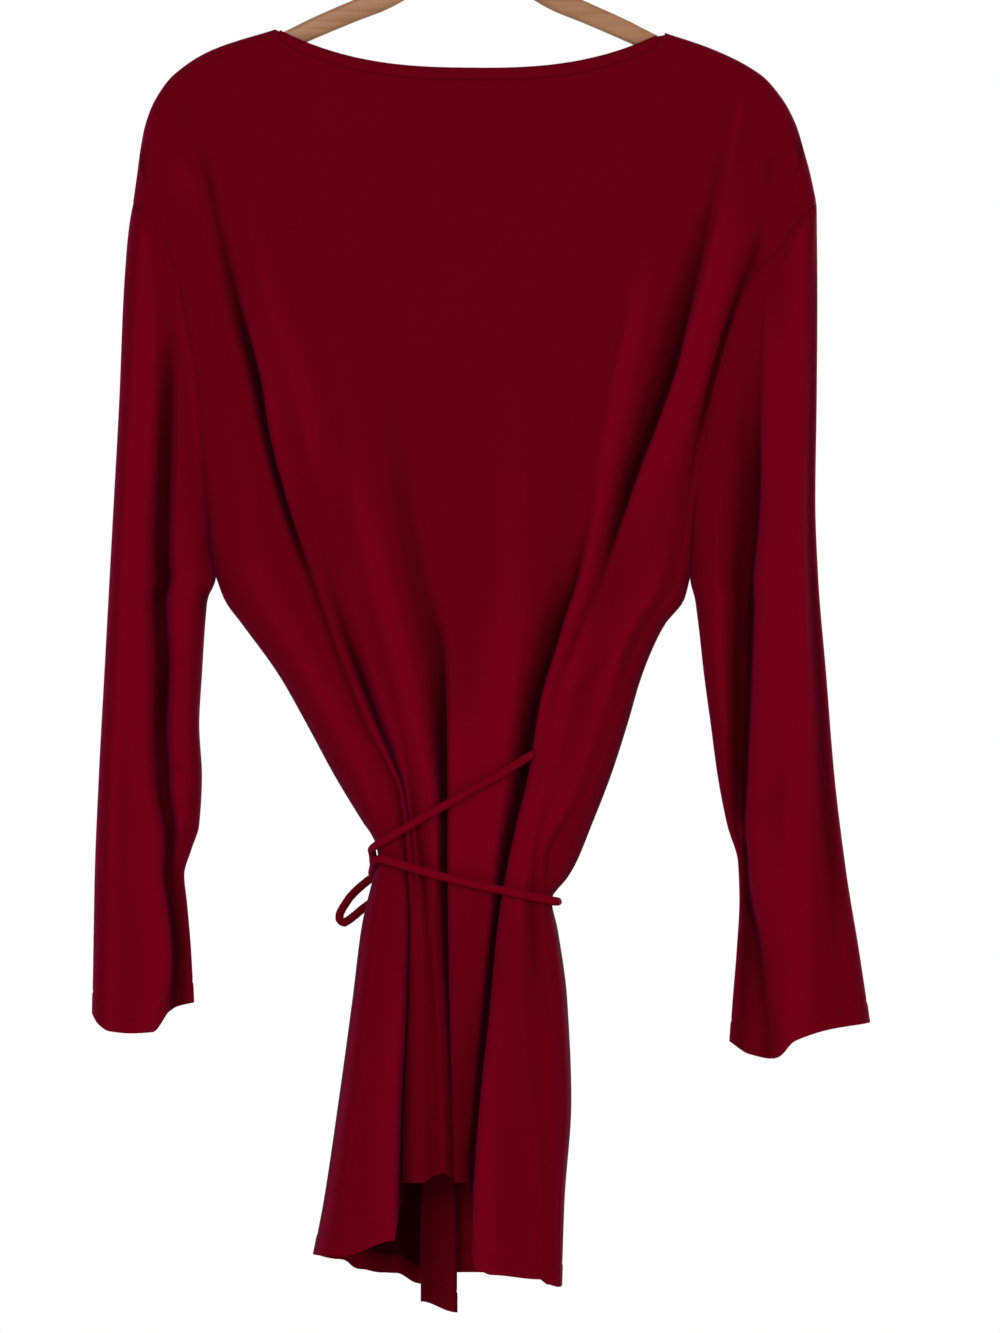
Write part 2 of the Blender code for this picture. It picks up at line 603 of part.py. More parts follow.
def add_tie(material):
    """The narrow self-fabric tie: two strands round the waist, a bow and two free ends on the left."""
    high = taut(TIE_BACK_HIGH, BACK_FOLDS, -1)
    low = taut(TIE_BACK_LOW, BACK_FOLDS, -1)
    front = taut(TIE_FRONT, FRONT_RIGHT_FOLDS, 1)
    left_high = [(-73, -24, 600.5), (-73.8, -6, 603.5), (-73.2, 12, 607), (-71.5, 30, 611)]
    left_low = [(-71.5, -24, 609.5), (-72.8, -6, 612.5), (-73.4, 12, 616), (-72.5, 30, 619.5)]
    right_low = [(62.6, -30.6, 638.5), (64.3, -12, 639), (64.4, 4, 639.5), (63.6, 20, 640), (60, 32, 640)]

    knot_x, knot_drop = KNOT
    knot_depth = rest(knot_x + 7, knot_drop)[1] - 0.5 * TIE_DIAMETER + KNOT_HALF_SIZES[1]
    knot = Vector((knot_x, knot_depth, knot_drop))

    def at_knot(*direction, off=2.7):
        """A point just off the knot's surface in a direction, as (x, depth, drop)."""
        way = Vector(direction)
        spot = way / math.sqrt(sum((w / size)**2 for w, size in zip(way, KNOT_HALF_SIZES)))
        out = Vector([s / size**2 for s, size in zip(spot, KNOT_HALF_SIZES)]).normalized()
        return tuple(knot + spot + out * off)

    def strand(name, route, bend=6.0):
        line = bent([Vector(point) for point in route], bend)
        add_cord(name, [place(x, y, drop, 1) for x, y, drop in line], TIE_DIAMETER, material)

    strand("tie_strand_high", high + left_high + [at_knot(-1, -0.35, -0.6, off=1.55)])
    strand("tie_strand_low", [at_knot(-1, -0.35, 0.5, off=1.9)] + left_low[::-1] + low + right_low + front)
    strand("bow_loop_out", [
        at_knot(-0.8, 0.8, 0.1, off=2.5), (-75, 50, 624.5), (-84, 45, 632), (-92, 41, 641), (-97, 38, 650),
        (-94.5, 37, 657), (-87, 38, 654.5), (-79, 42, 648), (-70, 48, 640), at_knot(-0.5, 0.8, 0.8, off=2.5)], 5)
    strand("bow_loop_in", [
        at_knot(0.9, 0.7, -0.2), rest(-36, 624, 6), rest(-25, 637, 6), rest(-17, 652, 4), rest(-13, 664, 3),
        rest(-18, 672, 3), rest(-26, 667, 4), rest(-35, 655, 6), rest(-43, 643, 9),
        at_knot(0.65, 0.8, 0.8)], 5)
    strand("tie_end_left", [
        at_knot(-0.25, -0.1, 1, off=0.75), rest(-58, 645), rest(-58, 670), rest(-59, 700), rest(-60, 730),
        rest(-61, 760), rest(-61, 624 + TIE_END_LENGTH)])
    strand("tie_end_right", [
        at_knot(0.8, -0.35, 0.8, off=2.0), rest(-46, 645), rest(-46, 670), rest(-47, 700), rest(-49, 730),
        rest(-51, 604 + TIE_END_LENGTH)])
    bpy.ops.mesh.primitive_uv_sphere_add(segments=12, ring_count=8, radius=1, location=place(*knot, 1))
    ball = bpy.context.object
    ball.name = ball.data.name = "tie_knot"
    ball.scale = Vector(KNOT_HALF_SIZES) * MM
    bpy.ops.object.transform_apply(location=False, rotation=False, scale=True)
    for collection in list(ball.users_collection):
        collection.objects.unlink(ball)
    ball.data.shade_smooth()
    link(ball, material)


def build_cloth(material):
    add_cloth("back", body_panel(BACK_FOLDS, -1), False, material)
    add_cloth("front_left", body_panel(FRONT_LEFT_FOLDS, 1), False, material)
    add_cloth("front_right", body_panel(FRONT_RIGHT_FOLDS, 1), False, material)
    for side in ("left", "right"):
        add_cloth("sleeve_" + side, sleeve_rings(side), True, material)


def start_scene():
    for obj in list(bpy.data.objects):
        bpy.data.objects.remove(obj)
    collection = bpy.data.collections.new("tie_waist_cardigan")
    bpy.context.scene.collection.children.link(collection)


def main():
    start_scene()
    knit = add_material("dark_red_jersey", RED, 0.6)
    wood = add_material("tan_wood", WOOD, 0.4)
    steel = add_material("hook_steel", STEEL, 0.3, 1.0)
    build_cloth(knit)
    add_neck_band(knit)
    add_tie(knit)
    add_hanger(wood, steel)


main()
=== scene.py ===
import math

import bmesh
import bpy
import numpy as np
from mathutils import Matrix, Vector


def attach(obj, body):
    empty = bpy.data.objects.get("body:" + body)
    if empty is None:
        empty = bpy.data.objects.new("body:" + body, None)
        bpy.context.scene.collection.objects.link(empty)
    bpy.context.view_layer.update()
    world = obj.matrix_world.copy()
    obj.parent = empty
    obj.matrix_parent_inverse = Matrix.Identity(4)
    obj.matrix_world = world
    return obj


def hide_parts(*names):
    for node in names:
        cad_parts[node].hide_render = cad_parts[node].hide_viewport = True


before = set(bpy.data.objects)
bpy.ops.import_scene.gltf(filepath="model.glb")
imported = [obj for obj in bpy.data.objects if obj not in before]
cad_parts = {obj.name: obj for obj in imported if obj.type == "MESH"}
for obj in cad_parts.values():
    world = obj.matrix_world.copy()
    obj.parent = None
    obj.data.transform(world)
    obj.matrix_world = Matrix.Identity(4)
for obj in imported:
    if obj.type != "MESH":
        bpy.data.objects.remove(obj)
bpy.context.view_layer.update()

print("frame loaded")

# camera, before anything else is made

view = {
    "middle": (0.022, -0.592),
    "distance": 9.0,
    "frameHeight": 0.978,
}


def buildCamera():
    data = bpy.data.cameras.new("photoCamera")
    data.sensor_width = 36.0
    data.lens = 36.0 * view["distance"] / view["frameHeight"]
    obj = bpy.data.objects.new("photoCamera", data)
    bpy.context.scene.collection.objects.link(obj)
    obj.location = (view["middle"][0], -view["distance"], view["middle"][1])
    obj.rotation_euler = (math.pi / 2, 0, 0)
    bpy.context.scene.camera = obj


buildCamera()

room = {
    "wallColour": (1.0, 1.0, 1.0, 1),
    "wallStrength": 1.0,
    "floorRadius": 1.6,
    "floorHeight": -1.42,
    "floorThickness": 0.02,
    "aim": (0.0, 0.0, -0.6),
    # name, place, side length, watts
    "lamps": (
        ("frontSoft", (-1.0, -3.7, 0.3), 1.2, 88.0),
        ("sideSoft", (2.4, -2.6, 0.2), 1.4, 38.0),
        ("behindSoft", (1.0, 3.7, 0.3), 1.2, 88.0),
    ),
}


def buildWorld():
    bpy.context.scene.view_settings.view_transform = "Standard"
    world = bpy.data.worlds.new("paleRoom")
    bpy.context.scene.world = world
    world.use_nodes = True
    background = world.node_tree.nodes["Background"]
    background.inputs["Color"].default_value = room["wallColour"]
    background.inputs["Strength"].default_value = room["wallStrength"]


buildWorld()

garment = {
    "neckBelowRail": 125.0,
    "neckHalfWidth": 143.0,
    "neckScoop": 28.0,
    "neckTilt": 2.5,
    "underarmDrop": 400.0,
    "clothThickness": 0.85,
    "hemThickness": 1.5,
    "hemHeight": 15.0,
    "edgeRoll": 13.0,
    "waleWidth": 0.00074,
    "courseHeight": 0.00055,
    # how far round a point the painted shade and painted highlight look, for a fold and for a whole plane of
    # cloth
    "foldReach": 6.5,
    "planeReach": 24.0,
}

seams = {
    "shoulderLeft": ((-143, 0), (-189, 15), (-217, 33), (-231, 52), (-238, 70), (-241.5, 88), (-244, 107),
                     (-247, 128)),
    "shoulderRight": ((143, 2.5), (178, 14.5), (213, 33), (229, 51), (239, 70), (244.5, 88), (249.6, 107),
                      (254, 128)),
    # armhole seams, (drop, x, depth)
    "armholeLeft": ((128, -247, 0), (129.2, -246, 7), (131, -243.8, 12.5), (134, -241, 16),
                    (143, -233, 19.5), (158, -222, 21),
                    (180, -215, 21.5), (198, -211, 22),
                    (272, -198, 21), (345, -194, 14), (380, -191, 7), (400, -187, 0)),
    "armholeRight": ((128, 254, 0), (129.2, 252.6, 7), (131, 250.4, 12.5), (134, 247, 16),
                     (143, 239, 19.5), (158, 229, 21),
                     (180, 210, 21.5), (198, 200, 22),
                     (272, 179, 21), (345, 166, 14), (380, 163, 7), (400, 162, 0)),
    # side seams, (drop, x)
    "sideLeft": ((400, -187), (418, -180), (437, -166), (473, -140), (510, -119), (547, -99), (580, -79),
                 (594, -70),
                 (606, -67), (621, -70.5), (657, -79), (712, -86), (785, -96), (859, -107), (900, -115)),
    "sideRight": ((400, 162), (418, 157), (437, 142), (473, 126), (510, 115), (547, 103), (583, 89),
                  (612, 77),
                  (622, 71), (638, 59.5), (660, 64), (712, 71), (785, 74), (859, 69), (918, 67)),
}


# curves and profiles

def throughKnots(knots, at):
    # smooth curve through (place, value) knots that never overshoots them; places go up
    places = np.array([knot[0] for knot in knots], float)
    values = np.array([knot[1] for knot in knots], float)
    if len(places) == 1:
        return np.full(np.shape(at), values[0])
    rises = np.diff(values) / np.diff(places)
    slopes = np.zeros(len(values))
    slopes[0], slopes[-1] = rises[0], rises[-1]
    before, after = rises[:-1], rises[1:]
    same = before * after > 0
    slopes[1:-1][same] = 2 * before[same] * after[same] / (before[same] + after[same])
    at = np.clip(np.asarray(at, float), places[0], places[-1])
    i = np.clip(np.searchsorted(places, at, side="right") - 1, 0, len(places) - 2)
    span = places[i + 1] - places[i]
    t = (at - places[i]) / span
    return ((2 * t**3 - 3 * t**2 + 1) * values[i] + (t**3 - 2 * t**2 + t) * span * slopes[i]
            + (3 * t**2 - 2 * t**3) * values[i + 1] + (t**3 - t**2) * span * slopes[i + 1])


def throughColumns(places, columns, at):
    # the same curve at one place, through values that are whole columns of numbers
    rises = [(columns[i + 1] - columns[i]) / (places[i + 1] - places[i]) for i in range(len(places) - 1)]
    slopes = [rises[0]]
    for before, after in zip(rises, rises[1:]):
        product = before * after
        total = np.where(before + after == 0, 1.0, before + after)
        slopes.append(np.where(product > 0, 2 * product / total, 0.0))
    slopes.append(rises[-1])
    at = min(max(at, places[0]), places[-1])
    i = max(k for k in range(len(places) - 1) if places[k] <= at)
    span = places[i + 1] - places[i]
    t = (at - places[i]) / span
    return ((2 * t**3 - 3 * t**2 + 1) * columns[i] + (t**3 - 2 * t**2 + t) * span * slopes[i]
            + (3 * t**2 - 2 * t**3) * columns[i + 1] + (t**3 - t**2) * span * slopes[i + 1])


def mix(a, b, share):
    return a + (b - a) * share


def smooth(t):
    t = np.clip(t, 0.0, 1.0)
    return t * t * (3 - 2 * t)


def quarter(t):
    # height of a quarter circle from 0 at t = 0 to 1 at t = 1
    t = np.clip(t, 0.0, 1.0)
    return np.sqrt(np.maximum(0.0, 1 - (1 - t)**2))


def topEdgeDrop(x):
    # drop of the shoulder and back neck edge at x
    x = np.asarray(x, float)
    half = garment["neckHalfWidth"]
    neck = garment["neckTilt"] * (x + half) / (2 * half)
    neck = neck + garment["neckScoop"] * (1 - np.minimum(1.0, abs(x / half))**2.65)
    left = throughKnots(sorted(seams["shoulderLeft"]), x)
    right = throughKnots(seams["shoulderRight"], x)
    return np.where(x < -half, left, np.where(x > half, right, neck))


def topEdgeDepth(x):
    half = garment["neckHalfWidth"]
    return -0.25 + 8.5 * np.sqrt(np.maximum(0.0, 1 - np.minimum(1.0, abs(x / half))**16))


def fromTopEdge(x, drop):
    slope = topEdgeDrop(x + 0.5) - topEdgeDrop(x - 0.5)
    return (drop - topEdgeDrop(x)) / np.sqrt(1 + slope * slope)


def sideSeam(side, drop):
    # (x, depth) of the body's edge: the armhole above the underarm, the side seam below it
    drop = np.asarray(drop, float)
    inward = 1 if side == "Left" else -1
    armhole = seams["armhole" + side]
    off = mix(0.3, 0.45, smooth((drop - 200) / 120))
    upper = throughKnots([knot[:2] for knot in armhole], drop) + inward * off
    closing = 1 - smooth((drop - garment["underarmDrop"]) / 40)
    lower = throughKnots(seams["side" + side], drop) + inward * off * closing
    depth = throughKnots([(knot[0], knot[2]) for knot in armhole], drop)
    above = drop < garment["underarmDrop"]
    # front and back overlap a little where they are sewn, so that no light shows through
    return np.where(above, upper, lower), np.where(above, depth, -0.25)


def closeShare(drop):
    # 0 on the upper armhole and 1 at the underarm
    return smooth((drop - 240) / (garment["underarmDrop"] - 250))


# folds of a body panel

def foldLine(panel, fold, drop):
    # (x, depth) of a fold's line at each drop
    name, topX, underEdge, _, rows = fold
    if rows is None:
        return sideSeam("Left" if name.endswith("Left") else "Right", drop)
    top = float(topEdgeDrop(topX))
    xs = [(top, topX)] + [row[:2] for row in rows]
    ys = [(top + 12, underEdge)] + [(row[0], row[2]) for row in rows]
    return throughKnots(xs, drop), throughKnots(ys, drop)


def betweenFolds(panel, first, second, share, drop):
    # (x, depth) between two neighbouring folds: round at a side seam, full at a ridge, sharp in a valley
    x1, y1 = foldLine(panel, first, drop)
    x2, y2 = foldLine(panel, second, drop)
    if first[4] is None:
        if share > 0:
            # the shoulder keeps its depth down to the end of the seam
            y1 = sideSeam("Left" if first[0].endswith("Left") else "Right", np.maximum(drop, 137.0))[1]
        turn = share * math.pi / 2
        roundX = mix(share, 1 - math.cos(turn), closeShare(drop))
        return mix(x1, x2, roundX), mix(y1, y2, math.sin(turn))
    if second[4] is None:
        return betweenFolds(panel, second, first, 1 - share, drop)
    soft = smooth(share)
    falling = mix(soft, share**1.5, 0.45)
    rising = mix(soft, 1 - (1 - share)**1.5, 0.45)
    eased = np.where(y1 > y2, falling, rising)
    x = mix(x1, x2, share)
    lip = panel["lips"].get((first[0], second[0]))
    if lip:
        # the ridge hangs over its valley by an S-shaped turn of the cloth
        x = x + throughKnots(lip, drop) * math.sin(2 * math.pi * share)
    return x, mix(y1, y2, eased)


def panelColumns(panel):
    # (first fold, second fold, share) of each column across a panel
    folds = panel["folds"]
    columns = []
    for first, second in zip(folds, folds[1:]):
        steps = panel["columnsPerFold"].get((first[0], second[0]), panel["columnsElsewhere"])
        columns += [(first, second, step / steps) for step in range(steps)]
    columns.append((folds[-2], folds[-1], 1.0))
    return columns


# heights of the rows above a hem
hemSteps = np.array([18.5, 16.8, 15.6, 14.6, 13.8, 13.0, 11.5, 9.0, 6.0, 3.5, 1.6, 0.5, 0.0])


def panelRows(top, hem, count):
    # drops down one column: fine over the hanger, even to the underarm, even to the hem
    edge = top + np.array([0.0, 0.5, 1.2, 2.2, 3.6, 5.4, 7.6, 10.2, 13.2, 17.0, 21.0, 25.0])
    chest = np.linspace(edge[-1], garment["underarmDrop"], count["chest"] + 1)[1:]
    skirtFrom, skirtTo = garment["underarmDrop"], 800.0
    skirt = np.linspace(skirtFrom, skirtTo, count["skirt"] + 1)[1:]
    share = np.linspace(0, 1, count["hem"] + 1)[1:]
    return np.concatenate([edge, chest, skirt, mix(skirtTo, hem - 21.0, share), hem - hemSteps])


def creaseDepth(crease, x, drop):
    # a soft trough or ridge along a line, deepest where its depths say, of unlike widths on its two sides
    name, way, line, depths, widths = crease
    run, across = (drop, x) if way == "down" else (x, drop)
    first, last = line[0][0], line[-1][0]
    centre = throughKnots(line, run)
    slope = throughKnots(line, run + 1) - throughKnots(line, run - 1)
    off = (across - centre) / np.sqrt(1 + (0.5 * slope)**2)
    share = np.clip((run - first) / (last - first), 0, 1)
    width = np.where(off < 0, widths[0], widths[1])
    shape = np.exp(-(off / width)**2)
    depth = throughKnots([(i / (len(depths) - 1), depths[i]) for i in range(len(depths))], share)
    inside = smooth((run - first) / (0.12 * (last - first))) * smooth((last - run) / (0.12 * (last - first)))
    return depth * shape * inside


def unevenness(x, drop, side, size):
    # the slow, small waves that no cloth is without
    wave = (0.9 * np.sin(x / 23 + drop / 61 + side) * np.sin(drop / 47 - x / 71 + 2 * side)
            + 0.5 * np.sin(x / 11.3 - drop / 39 + 4 * side) * np.sin(drop / 29 + 1.7)
            + 0.25 * np.sin(x / 6.1 + drop / 83) * np.sin(drop / 17.0 + x / 31 + side))
    return size * wave


def bodyPanel(panel):
    # (rows, columns, 3) points of a front or back panel in mm, as (x, depth, drop)
    columns = panelColumns(panel)
    grid = []
    for first, second, share in columns:
        topX = mix(first[1], second[1], share)
        top = float(topEdgeDrop(topX))
        hemShare = float(smooth(share))
        drop = panelRows(top, mix(first[3], second[3], hemShare), panel["rows"])
        x, depth = betweenFolds(panel, first, second, share, drop)
        atSeam = first[4] is None and share == 0 or second[4] is None and share == 1
        if not atSeam:
            topStart = betweenFolds(panel, first, second, share, np.array([top]))[0][0]
            x = x + (topX - topStart) * (1 - smooth((drop - top) / 70))
            edge = float(topEdgeDepth(topX))
            depth = mix(edge, depth, quarter(fromTopEdge(x, drop) / garment["edgeRoll"]))
        grid.append(np.stack([x, depth, drop], axis=1))
    grid = np.stack(grid, axis=1)
    x, drop = grid[..., 0], grid[..., 2]
    inset = np.minimum(np.arange(len(columns)), np.arange(len(columns))[::-1]) / 6.0
    calm = smooth(inset)[None, :] * smooth((fromTopEdge(x, drop) - 8) / 40)
    more = unevenness(x, drop, panel["side"], panel["waves"])
    for crease in panel["creases"]:
        more = more + creaseDepth(crease, x, drop)
    grid[..., 1] += more * calm
    return grid


def inRoom(grid, side):
    # points in metres from (x, depth, drop); side is -1 on the back and 1 on the front
    out = np.empty_like(grid)
    out[..., 0] = grid[..., 0]
    out[..., 1] = side * grid[..., 1]
    out[..., 2] = -(garment["neckBelowRail"] + grid[..., 2])
    return out * 0.001


# meshes

def deselectAll():
    for obj in bpy.context.selected_objects:
        obj.select_set(False)


def alone(obj):
    deselectAll()
    obj.select_set(True)
    bpy.context.view_layer.objects.active = obj


def selectWhere(obj, chosen):
    # in edit mode, the points that a test of their place picks, and the faces between them
    made = bmesh.from_edit_mesh(obj.data)
    for face in made.faces:
        face.select_set(False)
    for point in made.verts:
        point.select_set(bool(chosen(point.co)))
    made.select_flush(True)
    bmesh.update_edit_mesh(obj.data)


def startEditing(obj, name):
    # a new primitive's place goes into its mesh, and all of it is selected for the first step
    alone(obj)
    obj.name = name
    obj.data.name = name
    bpy.ops.object.transform_apply(location=True, rotation=True, scale=True)
    bpy.ops.object.mode_set(mode="EDIT")
    bpy.ops.mesh.select_mode(type="VERT")
    bpy.ops.mesh.select_all(action="SELECT")


def finishEditing():
    bpy.ops.mesh.select_all(action="SELECT")
    bpy.ops.mesh.normals_make_consistent(inside=False)
    bpy.ops.object.mode_set(mode="OBJECT")
    bpy.ops.object.shade_smooth_by_angle(angle=math.radians(40))
    deselectAll()


def applyModifiers(obj):
    alone(obj)
    for modifier in list(obj.modifiers):
        bpy.ops.object.modifier_apply(modifier=modifier.name)
    obj.select_set(False)


def arcLengths(points, axis):
    steps = np.linalg.norm(np.diff(points, axis=axis), axis=2)
    start = np.zeros_like(np.take(steps, [0], axis=axis))
    return np.cumsum(np.concatenate([start, steps], axis=axis), axis=axis)


def plainCloth(shape):
    # cloth far from a hem, a seam or a fold
    return {"hem": np.full(shape, 50.0), "seam": np.full(shape, 50.0), "foldShading": np.zeros(shape),
            "swell": np.zeros(shape)}


def gridMesh(name, points, closed, outward, u, v, values):
    # a mesh over a grid of points, with its own UV map in metres and named values at its points
    rows, width = points.shape[:2]
    faces = []
    uvs = []
    for r in range(rows - 1):
        for c in range(width if closed else width - 1):
            after = (c + 1) % width
            corners = [(r, c), (r, after), (r + 1, after), (r + 1, c)]
            if outward < 0:
                corners.reverse()
            faces.append([a * width + b for a, b in corners])
            for a, b in corners:
                wrap = closed and c == width - 1 and b == 0
                uvs.append((u[a, width] if wrap else u[a, b], v[a, b]))
    mesh = bpy.data.meshes.new(name)
    mesh.from_pydata(points.reshape(-1, 3).tolist(), [], faces)
    layer = mesh.uv_layers.new(name="cloth")
    layer.data.foreach_set("uv", np.array(uvs, np.float32).reshape(-1))
    for key, value in values.items():
        attribute = mesh.attributes.new(key, "FLOAT", "POINT")
        attribute.data.foreach_set("value", value.astype(np.float32).reshape(-1))
    mesh.update()
    obj = bpy.data.objects.new(name, mesh)
    bpy.context.scene.collection.objects.link(obj)
    obj.data.shade_smooth()
    return obj


def closeEnds(obj, sides):
    # one face over the first ring of a tube and one over its last
    made = bmesh.new()
    made.from_mesh(obj.data)
    made.verts.ensure_lookup_table()
    for start in (0, len(made.verts) - sides):
        made.faces.new([made.verts[start + k] for k in range(sides)])
    bmesh.ops.recalc_face_normals(made, faces=made.faces)
    made.to_mesh(obj.data)
    made.free()
    obj.data.update()
    obj.data.shade_smooth()


def smoothRoute(points, step):
    # an even, smooth line through a route's points
    points = [Vector(p) for p in points]
    ends = [points[0] * 2 - points[1]] + points + [points[-1] * 2 - points[-2]]
    line = []
    for a, b, c, d in zip(ends, ends[1:], ends[2:], ends[3:]):
        count = max(2, int((c - b).length / (0.4 * step)))
        for i in range(count):
            t = i / count
            line.append(0.5 * (2 * b + (c - a) * t + (2 * a - 5 * b + 4 * c - d) * t * t
                               + (3 * b - a - 3 * c + d) * t**3))
    line.append(points[-1])
    line = np.array([tuple(p) for p in line])
    run = np.concatenate([[0], np.cumsum(np.linalg.norm(np.diff(line, axis=0), axis=1))])
    count = max(4, int(round(run[-1] / step)))
    at = np.linspace(0, run[-1], count + 1)
    return np.stack([np.interp(at, run, line[:, axis]) for axis in range(3)], axis=1)


def tubeMesh(name, route, radius, sides, shape):
    # a closed tube along a route; shape(run, angle, bend) gives its radius's factor there
    tangents = np.gradient(route, axis=0)
    tangents /= np.linalg.norm(tangents, axis=1, keepdims=True)
    bend = np.linalg.norm(np.gradient(tangents, axis=0), axis=1)
    bend /= np.maximum(1e-9, np.linalg.norm(np.gradient(route, axis=0), axis=1))
    run = np.concatenate([[0], np.cumsum(np.linalg.norm(np.diff(route, axis=0), axis=1))])
    side = np.cross(tangents[0], (0.0, 0.0, 1.0))
    if np.linalg.norm(side) < 0.2:
        side = np.cross(tangents[0], (0.0, 1.0, 0.0))
    rings, us, vs = [], [], []
    for i, (middle, way) in enumerate(zip(route, tangents)):
        side = side - way * np.dot(side, way)
        side /= np.linalg.norm(side)
        up = np.cross(way, side)
        ring = []
        for k in range(sides):
            angle = 2 * math.pi * k / sides
            size = radius * shape(run[i], angle, bend[i])
            ring.append(middle + (side * math.cos(angle) + up * math.sin(angle)) * size)
        rings.append(ring)
    points = np.array(rings)
    u = np.tile(np.linspace(0, 2 * math.pi * radius, sides + 1), (len(route), 1))
    v = np.tile(run[:, None], (1, sides + 1))
    obj = gridMesh(name, points, True, 1, u, v, plainCloth(points.shape[:2]))
    closeEnds(obj, sides)
    return obj


def hollowness(x, depth, reach):
    # how far each point of a row lies behind the cloth around it, in mm
    out = np.empty_like(x)
    for r in range(x.shape[0]):
        near = np.exp(-((x[r][:, None] - x[r][None, :]) / reach)**2)
        gaps = np.gradient(x[r])
        near = near * np.maximum(0.05, abs(gaps))[None, :]
        out[r] = near @ depth[r] / near.sum(axis=1) - depth[r]
    return out


def clothFrom(name, points, closed, outward, material, values):
    # a cloth wall on a grid of points: single above, turned up double at its hem
    u = arcLengths(points if not closed else np.concatenate([points, points[:, :1]], axis=1), 1)
    if not closed:
        u = u - u[:, u.shape[1] // 2][:, None]
    v = arcLengths(points, 0)
    within = values.pop("within", None)
    values = {**plainCloth(points.shape[:2]), **values}
    obj = gridMesh(name, points, closed, outward, u, v, values)
    double = obj.vertex_groups.new(name="double")
    single = garment["clothThickness"] / garment["hemThickness"]
    weights = np.where(values["hem"] < garment["hemHeight"], 1.0, single).reshape(-1)
    for weight in (1.0, single):
        double.add([int(i) for i in np.flatnonzero(weights == weight)], weight, "REPLACE")
    wall = obj.modifiers.new("wall", "SOLIDIFY")
    wall.thickness = garment["hemThickness"] * 0.001
    wall.offset = 0.0
    wall.use_quality_normals = True
    wall.vertex_group = "double"
    applyModifiers(obj)
    if within is not None:
        # painted shade on the wall's inner face, by how deep inside the garment it is
        count = within.size
        placed = np.empty(len(obj.data.vertices) * 3, np.float32)
        obj.data.vertices.foreach_get("co", placed)
        placed = placed.reshape(-1, 3)
        toOutside = normalsOf(points, closed, outward)
        if closed:
            toOutside = points - points.mean(axis=1, keepdims=True)
        firstIsOuter = ((placed[:count] - points.reshape(-1, 3)) * toOutside.reshape(-1, 3)).sum() > 0
        inner = slice(count, 2 * count) if firstIsOuter else slice(0, count)
        for key, value in (("foldShading", within.reshape(-1)), ("swell", np.zeros(count))):
            shade = np.empty(len(placed), np.float32)
            obj.data.attributes[key].data.foreach_get("value", shade)
            if key == "foldShading" and not firstIsOuter:
                shade[count:2 * count] = shade[:count]
            shade[inner] = value
            obj.data.attributes[key].data.foreach_set("value", shade)
    obj.data.materials.append(material)
    return obj


def normalsOf(points, closed, outward):
    if closed:
        across = np.roll(points, -1, axis=1) - np.roll(points, 1, axis=1)
    else:
        across = np.gradient(points, axis=1)
    down = np.gradient(points, axis=0)
    normal = np.cross(down, across)
    normal /= np.maximum(1e-12, np.linalg.norm(normal, axis=2, keepdims=True))
    return normal * outward


# materials

def newGroup(name, inputs, outputs):
    group = bpy.data.node_groups.new(name, "ShaderNodeTree")
    for socket, kind, value in inputs:
        made = group.interface.new_socket(socket, in_out="INPUT", socket_type=kind)
        if value is not None:
            made.default_value = value
    for socket, kind in outputs:
        group.interface.new_socket(socket, in_out="OUTPUT", socket_type=kind)
    return group, group.nodes.new("NodeGroupInput"), group.nodes.new("NodeGroupOutput")


def mathNode(tree, operation, first, second=None, third=None):
    node = tree.nodes.new("ShaderNodeMath")
    node.operation = operation
    for socket, value in zip(node.inputs, (first, second, third)):
        if value is None:
            continue
        if isinstance(value, (int, float)):
            socket.default_value = value
        else:
            tree.links.new(value, socket)
    return node.outputs[0]


def noiseNode(tree, vector, scale, detail=2.0, roughness=0.5):
    node = tree.nodes.new("ShaderNodeTexNoise")
    node.inputs["Scale"].default_value = scale
    node.inputs["Detail"].default_value = detail
    node.inputs["Roughness"].default_value = roughness
    tree.links.new(vector, node.inputs["Vector"])
    return node.outputs["Fac"]


def buildKnitGroup():
    # fine single jersey: upright wales whose two legs lean together in every course
    group, given, put = newGroup(
        "fineJersey",
        [("Cloth", "NodeSocketVector", None), ("Wale", "NodeSocketFloat", garment["waleWidth"]),
         ("Course", "NodeSocketFloat", garment["courseHeight"])],
        [("Height", "NodeSocketFloat"), ("Loop", "NodeSocketFloat"), ("Patch", "NodeSocketFloat")])
    split = group.nodes.new("ShaderNodeSeparateXYZ")
    group.links.new(given.outputs["Cloth"], split.inputs[0])
    wale = mathNode(group, "DIVIDE", split.outputs["X"], given.outputs["Wale"])
    course = mathNode(group, "DIVIDE", split.outputs["Y"], given.outputs["Course"])
    wander = noiseNode(group, given.outputs["Cloth"], 260.0, 1.0)
    wale = mathNode(group, "ADD", wale, mathNode(group, "MULTIPLY", wander, 0.5))
    within = mathNode(group, "ABSOLUTE", mathNode(group, "SUBTRACT", mathNode(group, "FRACT", wale), 0.5))
    leg = mathNode(group, "SINE", mathNode(group, "MULTIPLY", within, 2 * math.pi))
    lean = mathNode(group, "ADD", course, mathNode(group, "MULTIPLY", within, 1.3))
    loop = mathNode(group, "SINE", mathNode(group, "MULTIPLY", lean, 2 * math.pi))
    loop = mathNode(group, "MULTIPLY_ADD", loop, 0.3, 0.7)
    height = mathNode(group, "MULTIPLY", leg, loop)
    fuzz = noiseNode(group, given.outputs["Cloth"], 5200.0, 2.0, 0.7)
    height = mathNode(group, "ADD", height, mathNode(group, "MULTIPLY", fuzz, 0.35))
    group.links.new(height, put.inputs["Height"])
    group.links.new(mathNode(group, "MULTIPLY", leg, loop), put.inputs["Loop"])
    patch = noiseNode(group, given.outputs["Cloth"], 9.0, 3.0, 0.6)
    group.links.new(patch, put.inputs["Patch"])
    return group


